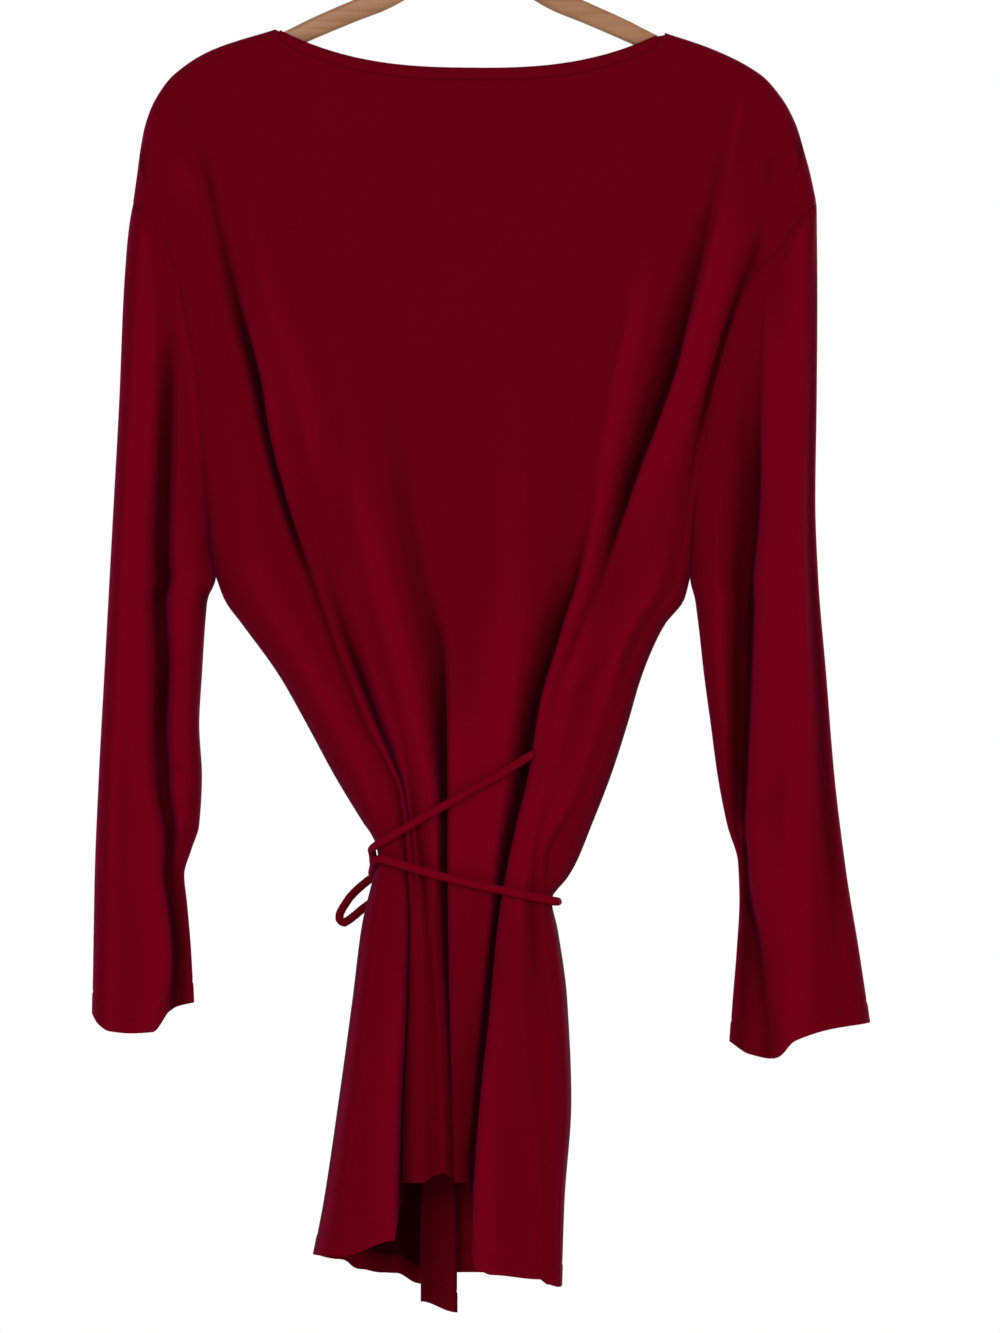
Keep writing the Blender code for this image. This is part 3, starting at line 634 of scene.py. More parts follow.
knitGroup = buildKnitGroup()


def placeGroup(tree, group):
    node = tree.nodes.new("ShaderNodeGroup")
    node.node_tree = group
    return node


def newMaterial(name):
    material = bpy.data.materials.new(name)
    material.use_nodes = True
    tree = material.node_tree
    return material, tree, tree.nodes["Principled BSDF"]


def mixColours(tree, share, first, second):
    node = tree.nodes.new("ShaderNodeMix")
    node.data_type = "RGBA"
    for key, value in (("Factor", share), ("A", first), ("B", second)):
        if isinstance(value, (int, float, tuple)):
            node.inputs[key].default_value = value
        else:
            tree.links.new(value, node.inputs[key])
    return node.outputs["Result"]


def attributeValue(tree, name):
    node = tree.nodes.new("ShaderNodeAttribute")
    node.attribute_name = name
    return node.outputs["Fac"]


def ramp(tree, value, low, high, atLow=0.0, atHigh=1.0):
    node = tree.nodes.new("ShaderNodeMapRange")
    node.interpolation_type = "SMOOTHSTEP"
    tree.links.new(value, node.inputs["Value"])
    for socket, number in zip(("From Min", "From Max", "To Min", "To Max"), (low, high, atLow, atHigh)):
        node.inputs[socket].default_value = number
    return node.outputs["Result"]


jersey = {
    # deep is the colour of the knit's loop grooves and the one that painted shade mixes toward; lit is the
    # colour of the lighter patches, and made 1.35 times brighter it is the painted highlight
    "deep": (0.014, 0.0001, 0.0008, 1),
    "full": (0.074, 0.0001, 0.0036, 1),
    "lit": (0.088, 0.0001, 0.0050, 1),
    "roughness": 0.8,
    "specular": 0.006,
    "sheen": 0.12,
    "sheenRoughness": 0.35,
    "sheenTint": (1.0, 0.002, 0.17, 1),
    "knitStrength": 0.55,
    "knitDepth": 0.00016,
    # shares of painted shade, in the deep colour, or of painted highlight, in a brighter lit colour: from and
    # to in mm, then the shares there
    "deepPaintedShadeBySeam": (0.4, 3.0, 0.25, 0.0),
    "deepPaintedShadeInPlanes": (0.2, 5.0, 0.0, 0.60),
    "paintedHighlightOnPlanes": (-3.2, -0.1, 0.45, 0.0),
    "deepPaintedShadeInFolds": (0.2, 4.5, 0.0, 0.88),
    "paintedHighlightOnFolds": (-3.5, -0.3, 0.5, 0.0),
}


def jerseyMaterial(name, wale, course, withSeams=True, darker=1.0):
    material, tree, shader = newMaterial(name)
    cloth = tree.nodes.new("ShaderNodeUVMap")
    cloth.uv_map = "cloth"
    knit = placeGroup(tree, knitGroup)
    tree.links.new(cloth.outputs["UV"], knit.inputs["Cloth"])
    knit.inputs["Wale"].default_value = wale
    knit.inputs["Course"].default_value = course
    shades = [tuple(c * darker for c in jersey[key][:3]) + (1,) for key in ("deep", "full", "lit")]
    colour = mixColours(tree, ramp(tree, knit.outputs["Patch"], 0.3, 0.7, 0.2, 0.45), shades[1], shades[2])
    colour = mixColours(tree, ramp(tree, knit.outputs["Loop"], 0.0, 0.55, 0.30, 0.0), colour, shades[0])
    if withSeams:
        # painted shade along seams, painted shade inside folds and on the low parts of planes of cloth,
        # and painted highlight on ridges and on the high parts of planes
        seam, foldShading, swell = (attributeValue(tree, key) for key in ("seam", "foldShading", "swell"))
        # the painted highlight: the lit colour made 1.35 times brighter
        paintedHighlight = tuple(c * 1.35 for c in shades[2][:3]) + (1,)
        for value, key in ((seam, "deepPaintedShadeBySeam"), (swell, "deepPaintedShadeInPlanes"), (swell, "paintedHighlightOnPlanes"),
                           (foldShading, "deepPaintedShadeInFolds"), (foldShading, "paintedHighlightOnFolds")):
            second = shades[0] if key.startswith("deep") else paintedHighlight
            colour = mixColours(tree, ramp(tree, value, *jersey[key]), colour, second)
    tree.links.new(colour, shader.inputs["Base Color"])
    bump = tree.nodes.new("ShaderNodeBump")
    bump.inputs["Strength"].default_value = jersey["knitStrength"]
    bump.inputs["Distance"].default_value = jersey["knitDepth"]
    tree.links.new(knit.outputs["Height"], bump.inputs["Height"])
    tree.links.new(bump.outputs["Normal"], shader.inputs["Normal"])
    shader.inputs["Roughness"].default_value = jersey["roughness"]
    shader.inputs["Specular IOR Level"].default_value = jersey["specular"]
    shader.inputs["Sheen Weight"].default_value = jersey["sheen"]
    shader.inputs["Sheen Roughness"].default_value = jersey["sheenRoughness"]
    shader.inputs["Sheen Tint"].default_value = jersey["sheenTint"]
    return material


clothMaterial = jerseyMaterial("darkRedJersey", garment["waleWidth"], garment["courseHeight"])
tieMaterial = jerseyMaterial("darkRedJerseyTie", 0.00066, 0.0005, withSeams=False, darker=1.3)


def threadMaterial():
    material, tree, shader = newMaterial("redThread")
    place = tree.nodes.new("ShaderNodeTexCoord")
    twist = noiseNode(tree, place.outputs["Object"], 2600.0, 1.0)
    colour = mixColours(tree, twist, (0.030, 0.0001, 0.0011, 1), (0.060, 0.0001, 0.0024, 1))
    tree.links.new(colour, shader.inputs["Base Color"])
    shader.inputs["Roughness"].default_value = 0.6
    shader.inputs["Specular IOR Level"].default_value = 0.05
    return material


def woodMaterial():
    # varnished tan wood with its grain along the arms
    material, tree, shader = newMaterial("hangerWood")
    place = tree.nodes.new("ShaderNodeTexCoord")
    along = tree.nodes.new("ShaderNodeMapping")
    along.inputs["Scale"].default_value = (7.0, 120.0, 120.0)
    tree.links.new(place.outputs["Object"], along.inputs["Vector"])
    grain = noiseNode(tree, along.outputs["Vector"], 1.6, 5.0, 0.62)
    slow = noiseNode(tree, place.outputs["Object"], 14.0, 2.0)
    pores = tree.nodes.new("ShaderNodeMapping")
    pores.inputs["Scale"].default_value = (60.0, 1400.0, 1400.0)
    tree.links.new(place.outputs["Object"], pores.inputs["Vector"])
    fine = noiseNode(tree, pores.outputs["Vector"], 1.0, 2.0)
    streak = ramp(tree, grain, 0.32, 0.68)
    colour = mixColours(tree, streak, (0.150, 0.066, 0.028, 1), (0.205, 0.098, 0.045, 1))
    colour = mixColours(tree, ramp(tree, fine, 0.56, 0.72, 0.0, 0.45), colour, (0.10, 0.042, 0.017, 1))
    colour = mixColours(tree, ramp(tree, slow, 0.3, 0.7, 0.0, 0.25), colour, (0.18, 0.08, 0.035, 1))
    tree.links.new(colour, shader.inputs["Base Color"])
    tree.links.new(ramp(tree, grain, 0.3, 0.7, 0.46, 0.36), shader.inputs["Roughness"])
    bump = tree.nodes.new("ShaderNodeBump")
    bump.inputs["Strength"].default_value = 0.2
    bump.inputs["Distance"].default_value = 0.0002
    tree.links.new(fine, bump.inputs["Height"])
    tree.links.new(bump.outputs["Normal"], shader.inputs["Normal"])
    shader.inputs["Specular IOR Level"].default_value = 0.15
    shader.inputs["Coat Weight"].default_value = 0.06
    shader.inputs["Coat Roughness"].default_value = 0.25
    return material


def steelMaterial():
    material, tree, shader = newMaterial("platedWire")
    place = tree.nodes.new("ShaderNodeTexCoord")
    smear = noiseNode(tree, place.outputs["Object"], 90.0, 3.0)
    colour = mixColours(tree, smear, (0.20, 0.20, 0.21, 1), (0.32, 0.32, 0.33, 1))
    tree.links.new(colour, shader.inputs["Base Color"])
    tree.links.new(ramp(tree, smear, 0.3, 0.7, 0.18, 0.34), shader.inputs["Roughness"])
    shader.inputs["Metallic"].default_value = 1.0
    return material


threadRed = threadMaterial()
hangerWood = woodMaterial()
platedWire = steelMaterial()
print("materials made")


# the back

backPanel = {
    "side": -1,
    # how far the painted shade of the armpit reaches from the seam, in mm
    "armpit": 6.0,
    "rows": {"chest": 64, "skirt": 92, "hem": 22},
    "columnsPerFold": {("sideLeft", "leftCrest"): 10, ("centreLeft", "centreRight"): 18,
                       ("rightOuter", "sideRight"): 10},
    "columnsElsewhere": 7,
    "waves": 0.3,
    # name, where it starts on the shoulder or neck edge, its depth just under the edge, the hem's
    # drop there, and its line as (drop, x, depth)
    "folds": (
        ("sideLeft", -247, 0, 898, None),
        ("leftCrest", -243, 18, 897, (
            (198, -193, 23), (250, -184, 24), (301, -174, 25), (350, -164, 25), (400, -153, 26),
            (450, -126, 28),
            (510, -94, 30), (560, -72, 30), (609, -63, 30), (650, -66, 35), (712, -72, 42),
            (870, -92, 52))),
        ("leftEdge", -234, 15, 886, (
            (120, -200, 20), (198, -184, 23), (250, -167, 22.5), (301, -155, 22), (350, -141, 22),
            (400, -126, 23.5),
            (450, -107, 26), (510, -83, 28.5), (560, -60, 30), (609, -52, 31), (650, -48.5, 35),
            (712, -50, 42),
            (790, -54, 47), (870, -56, 50))),
        ("tuckValley", -226, 13, 862, (
            (120, -189, 18.5), (150, -182, 19.5), (198, -171, 18), (230, -162, 15), (260, -154, 11),
            (301, -146.5, 9.5),
            (330, -139, 10.5), (350, -133.5, 13), (375, -126, 17), (400, -117.5, 20.5), (450, -100.5, 23.5),
            (510, -77, 26), (540, -60.5, 27), (560, -52, 27), (609, -46.5, 27), (650, -44.5, 27),
            (712, -46, 22),
            (794, -50, 16), (870, -52, 12))),
        ("tuckRidge", -214, 12, 845, (
            (120, -180, 20), (150, -174, 22), (198, -163.5, 24.5), (230, -156, 25.5), (260, -148.5, 25.5),
            (301, -141.5, 25), (330, -134.5, 25), (350, -129.5, 24.5), (400, -112.5, 24.5),
            (450, -95.5, 27),
            (510, -71.5, 30), (540, -57, 31), (560, -49.5, 31), (609, -44, 31.5), (650, -42, 31),
            (712, -43.5, 26),
            (794, -47.5, 20), (870, -49.5, 17))),
        ("secondValley", -185, 12, 845, (
            (198, -146, 25), (301, -124, 25.5), (400, -104.5, 24), (444, -91, 22.5), (470, -81.5, 20),
            (489, -74, 17.5),
            (511, -65.5, 17.5), (534, -56.5, 20), (560, -47.5, 25), (609, -41.5, 29), (650, -39, 30.5),
            (712, -39.5, 27),
            (794, -41, 22), (870, -42, 19))),
        ("bladeRidge", -160, 12, 845, (
            (198, -128, 26), (301, -108, 28), (400, -90, 29.5), (444, -78, 30.5), (489, -66, 31),
            (511, -58, 31),
            (540, -49, 31.5), (572, -43.5, 31), (617, -38.5, 30.5), (650, -37, 31), (712, -35.5, 26.5),
            (794, -35, 21.5),
            (870, -34.5, 18.5))),
        ("pleatValley", -140, 12, 840, (
            (198, -118, 26.5), (301, -98, 29.5), (400, -80, 31), (444, -68, 31), (508, -51.5, 30.5),
            (540, -45, 29.5),
            (572, -41, 28), (617, -34.5, 26.5), (650, -32, 27), (712, -29, 22.5), (787, -27.5, 17.5),
            (834, -26.3, 14.5),
            (870, -26, 13.5))),
        ("pleatRidge", -117, 12, 838, (
            (198, -107, 27), (250, -97, 29), (301, -88, 30.5), (350, -79, 31.5), (400, -69, 32.5),
            (444, -57, 33.5),
            (476, -48.5, 34.5), (508, -40, 35), (540, -32, 35.5), (562, -27.5, 35.5), (609, -26, 34.5),
            (650, -27, 31.5),
            (712, -23.5, 26), (787, -20.5, 20.5), (870, -18.5, 16.5))),
        ("centreValley", -60, 12, 842, (
            (198, -60, 25.5), (301, -50, 26), (400, -36, 26.5), (450, -22.5, 24), (500, -18.5, 18),
            (540, -17.5, 12),
            (566, -17, 9), (609, -17, 8), (650, -16.3, 10), (712, -15, 13), (771, -13.8, 13.5),
            (828, -12.6, 12.5), (870, -12, 12))),
        ("centreLeft", -22, 12, 845, (
            (198, -40, 26), (301, -32, 27), (400, -21, 28.5), (450, -14, 29.5), (500, -13.3, 31),
            (566, -13.2, 33),
            (609, -13.2, 33.5), (650, -12.8, 31), (712, -12, 25.5), (771, -10.5, 20), (828, -9, 17),
            (870, -8, 16))),
        ("centreRight", 80, 12, 845, (
            (198, 98, 26), (301, 68, 27.5), (350, 58, 28.5), (400, 47, 30), (450, 35, 31.5),
            (500, 27, 32.5),
            (550, 24, 33), (600, 18, 33), (650, 13, 32), (712, 8, 25), (771, 2.5, 19.5), (828, -1.5, 16.5),
            (870, -3, 15.5))),
        ("slitValley", 118, 12, 853, (
            (198, 113, 25.5), (250, 102, 25.5), (301, 95, 25.5), (342, 89.5, 25), (373, 83.5, 24),
            (402, 77.5, 22),
            (428, 69, 20), (454, 61.5, 18), (476, 55, 16), (498, 50, 14), (521, 46.5, 12), (553, 40.5, 10),
            (578, 34, 9),
            (604, 28, 8.5), (623, 24.5, 9), (650, 20.5, 10), (674, 17, 11), (712, 13.5, 12.5),
            (781, 6.2, 12.5), (828, 2.5, 12),
            (870, 0.5, 12))),
        ("slitRidge", 128, 12, 908, (
            (198, 120, 26), (250, 109, 27), (301, 101.5, 27.5), (342, 95, 28.5), (373, 89, 29.5),
            (402, 83, 30),
            (428, 74, 31.5), (454, 66.5, 32.5), (476, 59.5, 33), (498, 54, 33.5), (521, 50.5, 34),
            (553, 45.5, 34.5),
            (578, 39, 35), (604, 33.5, 35), (623, 29.5, 34), (650, 25, 34), (712, 19.5, 41), (781, 12, 46),
            (828, 8, 48),
            (870, 6, 49))),
        ("highValley", 190, 12, 911, (
            (60, 188, 15), (96, 182, 17), (135, 175, 18.5), (184, 165, 17), (219, 156.5, 14),
            (245, 150, 11.5),
            (289, 136, 9.5), (333, 119, 12), (355, 111.5, 16), (377, 103.5, 20.5), (400, 96, 23.5),
            (441, 78.5, 27.5),
            (486, 62, 30.5), (524, 54, 33), (553, 49, 34.5), (609, 37.5, 35), (650, 29.5, 35.5),
            (712, 25.5, 42),
            (781, 20, 47.5), (870, 16, 51))),
        ("highRidge", 200, 13, 914, (
            (60, 197, 18), (96, 190, 20), (135, 183, 22), (184, 172.5, 25), (219, 163, 26),
            (245, 156.5, 26),
            (289, 142, 25.5), (333, 124.5, 25), (377, 109, 25.5), (400, 101.5, 26), (441, 84, 29.5),
            (486, 67.5, 32.5),
            (524, 59, 34.5), (553, 53, 36), (609, 42.5, 36.5), (650, 35, 37.5), (704, 35, 43.5),
            (737, 37.5, 47),
            (767, 41, 49.5), (794, 45, 51.5), (821, 49, 53.5), (870, 51, 55))),
        ("tieValley", 210, 14, 918, (
            (198, 179, 24), (250, 163, 24.5), (301, 146, 25), (400, 117, 26.5), (450, 94, 29),
            (510, 74, 31), (560, 60, 32),
            (609, 47.5, 31), (650, 45.5, 31), (704, 48, 37), (754, 52, 42), (787, 55, 45), (821, 57, 48),
            (870, 57.5, 51))),
        ("rightCrest", 224, 16, 919, (
            (198, 187, 22.5), (250, 172, 23), (301, 157, 23.5), (400, 138, 25), (450, 111, 29),
            (510, 92, 31), (560, 74, 31.5),
            (609, 52, 31), (650, 52.5, 33), (712, 58, 41), (787, 63, 45), (870, 61.5, 50))),
        ("rightOuter", 246, 19, 920, (
            (198, 195, 18), (301, 166, 17), (400, 151, 16), (450, 121, 20), (510, 105, 24), (560, 84, 25),
            (609, 56, 25),
            (650, 57, 27), (712, 64, 35), (787, 68, 38), (870, 64.5, 44))),
        ("sideRight", 254, 0, 920, None),
    ),
    # how far a ridge hangs over its valley, (drop, mm)
    "lips": {
        ("tuckValley", "tuckRidge"): ((180, 0), (240, 1.6), (300, 2.4), (350, 1.6), (400, 0.5), (640, 0.5),
                                      (870, 0.8)),
        ("slitValley", "slitRidge"): ((360, 0), (450, 1.6), (540, 2.2), (650, 2.2), (870, 1.8)),
        ("highValley", "highRidge"): ((190, 0), (245, 1.6), (300, 2.4), (350, 1.4), (420, 0.4), (520, 0)),
        ("centreValley", "centreLeft"): ((440, 0), (540, 1.6), (650, 1.8), (870, 1.2)),
    },
    # name, which way it runs, its line, its depths along it, its widths on its two sides
    "creases": (
        ("shoulderFallLeft", "down", ((70, -196), (120, -190), (200, -174)), (0, -1.8, -1.2, 0), (8, 5)),
        ("ridgeByFold", "down", ((90, -168), (190, -148), (270, -124), (380, -102)), (0, 2.4, 3.2, 0),
         (9, 16)),
        ("bladeEdge", "down", ((180, -94), (280, -66), (400, -45), (480, -30)), (0, -1.8, -3.0, -1.6),
         (7, 16)),
        ("bladeLight", "down", ((300, -96), (400, -66), (480, -46), (560, -31)), (0, 1.8, 1.8, 0), (9, 6)),
        ("leftPlane", "down", ((385, -138), (415, -125), (450, -112)), (0, -1.0, 0), (5, 4)),
        ("centreSwell", "down", ((220, 34), (360, 28), (460, 19), (600, 2)), (0, 3.0, 2.6, 0), (20, 18)),
        ("centreDip", "down", ((250, 88), (350, 68), (430, 54), (500, 41)), (0, -2.4, -2.4, 0), (16, 9)),
        ("rightLight", "down", ((150, 132), (250, 112), (330, 94), (380, 84)), (0, 1.8, 2.2, 0), (7, 9)),
        ("outerLight", "down", ((120, 205), (190, 186), (260, 172), (330, 158)), (0, 1.0, 1.2, 0), (7, 7)),
        ("rightStripe", "down", ((70, 226), (135, 214), (175, 207), (245, 187)), (0, -1.8, -2.4, 0),
         (7, 4)),
        ("shoulderFold", "down", ((70, 189), (135, 175), (184, 160), (230, 149)), (0, -1.6, -1.6, 0),
         (9, 8)),
        ("rightSlant", "across", ((70, 494), (96, 466), (116, 442)), (0, -1.2, -0.9, 0), (4, 5)),
        ("underTieLeft", "down", ((640, -67), (740, -74), (850, -82)), (0, -1.4, -1.2, 0), (4, 7)),
        ("leftPanelSwell", "down", ((640, -56), (760, -62), (880, -70)), (0, 1.2, 1.4, 0), (8, 8)),
        ("hemDimple", "down", ((800, 22), (850, 20), (905, 24)), (0, -1.0, -1.4, 0), (8, 9)),
        ("rightTrough", "down", ((590, 50), (650, 47), (700, 53), (760, 60)), (0, -3.0, -3.0, 0), (7, 7)),
        ("backHighSweep", "across", ((-150, 92), (-40, 112), (90, 104)), (0, -0.5, -0.5, 0), (26, 30)),
    ),
}


def armpitShadeDepth(drop):
    # how dark the painted shade in the crease of the armpit is, in the fold shading's millimetres
    return 5.0 * smooth((drop - 325) / 55) * (1 - smooth((drop - 402) / 14))


def hemChannel(points, normals, hem):
    # stitching pulls a shallow channel above the hem
    channel = np.exp(-((hem - garment["hemHeight"]) / 1.3)**2) * 0.35
    return points - normals * channel[..., None] * 0.001


def buildBody(name, panel, node):
    grid = bodyPanel(panel)
    points = inRoom(grid, panel["side"])
    lengths = arcLengths(points, 0)
    hem = (lengths[-1][None, :] - lengths) * 1000
    across = arcLengths(points, 1) * 1000
    fromEnd = across[:, -1:] - across
    sides = {"first": fromEnd, "last": across}.get(panel.get("openEdge"), np.minimum(across, fromEnd))
    normals = normalsOf(points, False, -panel["side"])
    points = hemChannel(points, normals, hem)
    drop = grid[..., 2]
    # painted shade is drawn along the armhole's seam only above its fold, and painted shade darkens the
    # crease of the armpit
    armpit = armpitShadeDepth(drop)
    # painted shade in folds and painted highlight on ridges, from how far each point lies behind the cloth
    # around it; swell does the same over whole planes of cloth
    foldShading = hollowness(grid[..., 0], grid[..., 1], garment["foldReach"]) * smooth(sides / 12)
    foldShading = np.maximum(foldShading, armpit * np.exp(-(sides / panel["armpit"])**2))
    swell = hollowness(grid[..., 0], grid[..., 1], garment["planeReach"]) * smooth(sides / 55)
    swell = swell * mix(1.0, 0.22, smooth((drop - 560) / 110))
    foldShading = foldShading * mix(1.0, 0.5, smooth((drop - 640) / 110))
    seam = sides + 3.0 * smooth((drop - 150) / 25) * (drop < garment["underarmDrop"])
    # less painted shade and painted highlight round the ends of the shoulder seams
    for tip in (seams["shoulderLeft"][-1], seams["shoulderRight"][-1]):
        calm = smooth((np.hypot(grid[..., 0] - tip[0], drop - tip[1]) - 8) / 30)
        foldShading = foldShading * calm
        swell = swell * calm
    values = {"hem": hem, "seam": seam, "foldShading": foldShading, "swell": swell}
    if panel["side"] > 0:
        # painted shade on the fronts' inner faces, which are dark between the two fronts and the back, and
        # less painted shade on the fronts' rolled edge, which hangs in the light
        edge = fromEnd if panel["openEdge"] == "last" else across
        rolled = smooth((drop - 640) / 60) * np.exp(-(edge / 26)**4)
        values["foldShading"] = foldShading * mix(1.0, 0.15, rolled)
        values["within"] = 4.5 * smooth((hem - 6) / 12) * (1 - rolled)
    obj = clothFrom(name, points, False, -panel["side"], clothMaterial, values)
    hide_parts(node)
    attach(obj, "root")
    return obj, (points, normals, hem)


backCloth, backSurface = buildBody("backCloth", backPanel, "back")
print("back made")

# the fronts

frontLeftPanel = {
    "side": 1,
    # how far the painted shade of the armpit reaches from the seam, in mm
    "armpit": 3.0,
    "rows": {"chest": 50, "skirt": 70, "hem": 22},
    "columnsPerFold": {("sideLeft", "crest"): 10},
    "columnsElsewhere": 8,
    "waves": 0.35,
    "openEdge": "last",
    "folds": (
        ("sideLeft", -247, 0, 898, None),
        ("crest", -240, 18, 904, (
            (198, -196, 20), (301, -180, 22), (400, -163, 22), (510, -101, 26), (609, -63, 27),
            (712, -74, 36), (870, -96, 44))),
        ("valley", -228, 14, 911, (
            (198, -183, 20), (301, -165, 19), (400, -142, 14), (510, -87, 18), (609, -54, 20),
            (712, -62, 30), (870, -80, 36))),
        ("ridge", -213, 12, 914, (
            (198, -168, 21), (301, -148, 22), (400, -120, 24), (510, -74, 30), (609, -47, 33),
            (712, -53, 42), (870, -66, 48))),
        ("innerValley", -193, 12, 914, (
            (198, -150, 20), (301, -128, 21), (400, -100, 20), (510, -62, 21), (609, -40, 22),
            (712, -45, 32), (870, -54, 40))),
        ("innerRidge", -172, 12, 922, (
            (198, -132, 20), (301, -108, 22), (400, -82, 26), (510, -51, 31), (609, -32, 33),
            (712, -36, 42), (870, -38, 48))),
        ("edgeRoll", -156, 12, 943, (
            (198, -113, 19), (301, -92, 21), (400, -69, 25), (510, -41, 30), (609, -21, 31),
            (712, -15, 36), (870, -10, 39))),
        ("edge", -143, 12, 934, (
            (198, -103, 18), (301, -82, 20), (400, -61, 24), (510, -34, 29), (609, -10, 30),
            (712, -26, 24), (870, -36, 22))),
    ),
    "lips": {("crest", "valley"): ((198, 0), (301, 0), (400, 0.8), (510, 1.4), (609, 1.6), (712, 1.2),
                                   (870, 0.8)),
             ("ridge", "innerValley"): ((198, 0), (301, 0), (400, 0.6), (510, 1.2), (609, 1.6), (712, 1.4),
                                        (870, 1))},
    "creases": (
        ("chestFall", "down", ((40, -204), (170, -182), (300, -158)), (0, -1.4, -1.8, 0), (8, 7)),
        ("edgePull", "down", ((200, -124), (360, -84), (520, -44)), (0, -1.2, -1.8, 0), (7, 8)),
        ("hipSoft", "down", ((640, -60), (730, -72), (840, -86)), (0, -2.0, -1.6, 0), (7, 8)),
    ),
}


frontRightPanel = {
    "side": 1,
    # how far the painted shade of the armpit reaches from the seam, in mm
    "armpit": 3.0,
    "rows": {"chest": 50, "skirt": 70, "hem": 22},
    "columnsPerFold": {("crest", "sideRight"): 10},
    "columnsElsewhere": 9,
    "waves": 0.35,
    "openEdge": "first",
    "folds": (
        ("edge", 143, 12, 914, (
            (198, 93, 18), (301, 66, 21), (400, 40, 25), (510, 8, 32), (609, -27, 37), (712, -22, 45),
            (870, -15, 51))),
        ("innerRidge", 164, 12, 914, (
            (198, 118, 20), (301, 88, 22), (400, 62, 26), (510, 32, 32), (609, 1, 37), (712, 2, 46),
            (870, 1, 53))),
        ("innerValley", 184, 12, 914, (
            (198, 138, 20), (301, 106, 20), (400, 84, 20), (510, 51, 20), (609, 21, 22), (712, 24, 36),
            (870, 20, 44))),
        ("ridge", 205, 12, 915, (
            (198, 156, 21), (301, 124, 23), (400, 106, 25), (510, 70, 31), (609, 34, 34), (712, 38, 44),
            (870, 33, 51))),
        ("valley", 226, 14, 917, (
            (198, 172, 20), (301, 143, 19), (400, 128, 15), (510, 88, 18), (609, 46, 22), (712, 52, 32),
            (870, 48, 40))),
        ("crest", 243, 18, 918, (
            (198, 189, 19), (301, 162, 19), (400, 149, 18), (510, 103, 25), (609, 54, 26), (712, 61, 34),
            (870, 60, 42))),
        ("sideRight", 254, 0, 920, None),
    ),
    "lips": {("innerRidge", "innerValley"): ((198, 0), (301, 0), (400, 0.8), (510, 1.6), (609, 1.8),
                                             (712, 1.4), (870, 1)),
             ("valley", "crest"): ((198, 0), (301, 0), (400, 0.6), (510, 1.4), (609, 1.4), (712, 1),
                                   (870, 0.8))},
    "creases": (
        ("chestFall", "down", ((40, 196), (170, 166), (300, 134)), (0, -1.4, -1.8, 0), (7, 8)),
        ("edgePull", "down", ((200, 110), (360, 66), (520, 22)), (0, -1.3, -1.8, 0), (8, 7)),
        ("hipSoft", "down", ((650, 12), (740, 14), (850, 11)), (0, -2.0, -1.5, 0), (8, 7)),
    ),
}


frontLeftCloth, frontLeftSurface = buildBody("frontLeftCloth", frontLeftPanel, "front_left")
frontRightCloth, frontRightSurface = buildBody("frontRightCloth", frontRightPanel, "front_right")
print("fronts made")

# the sleeves

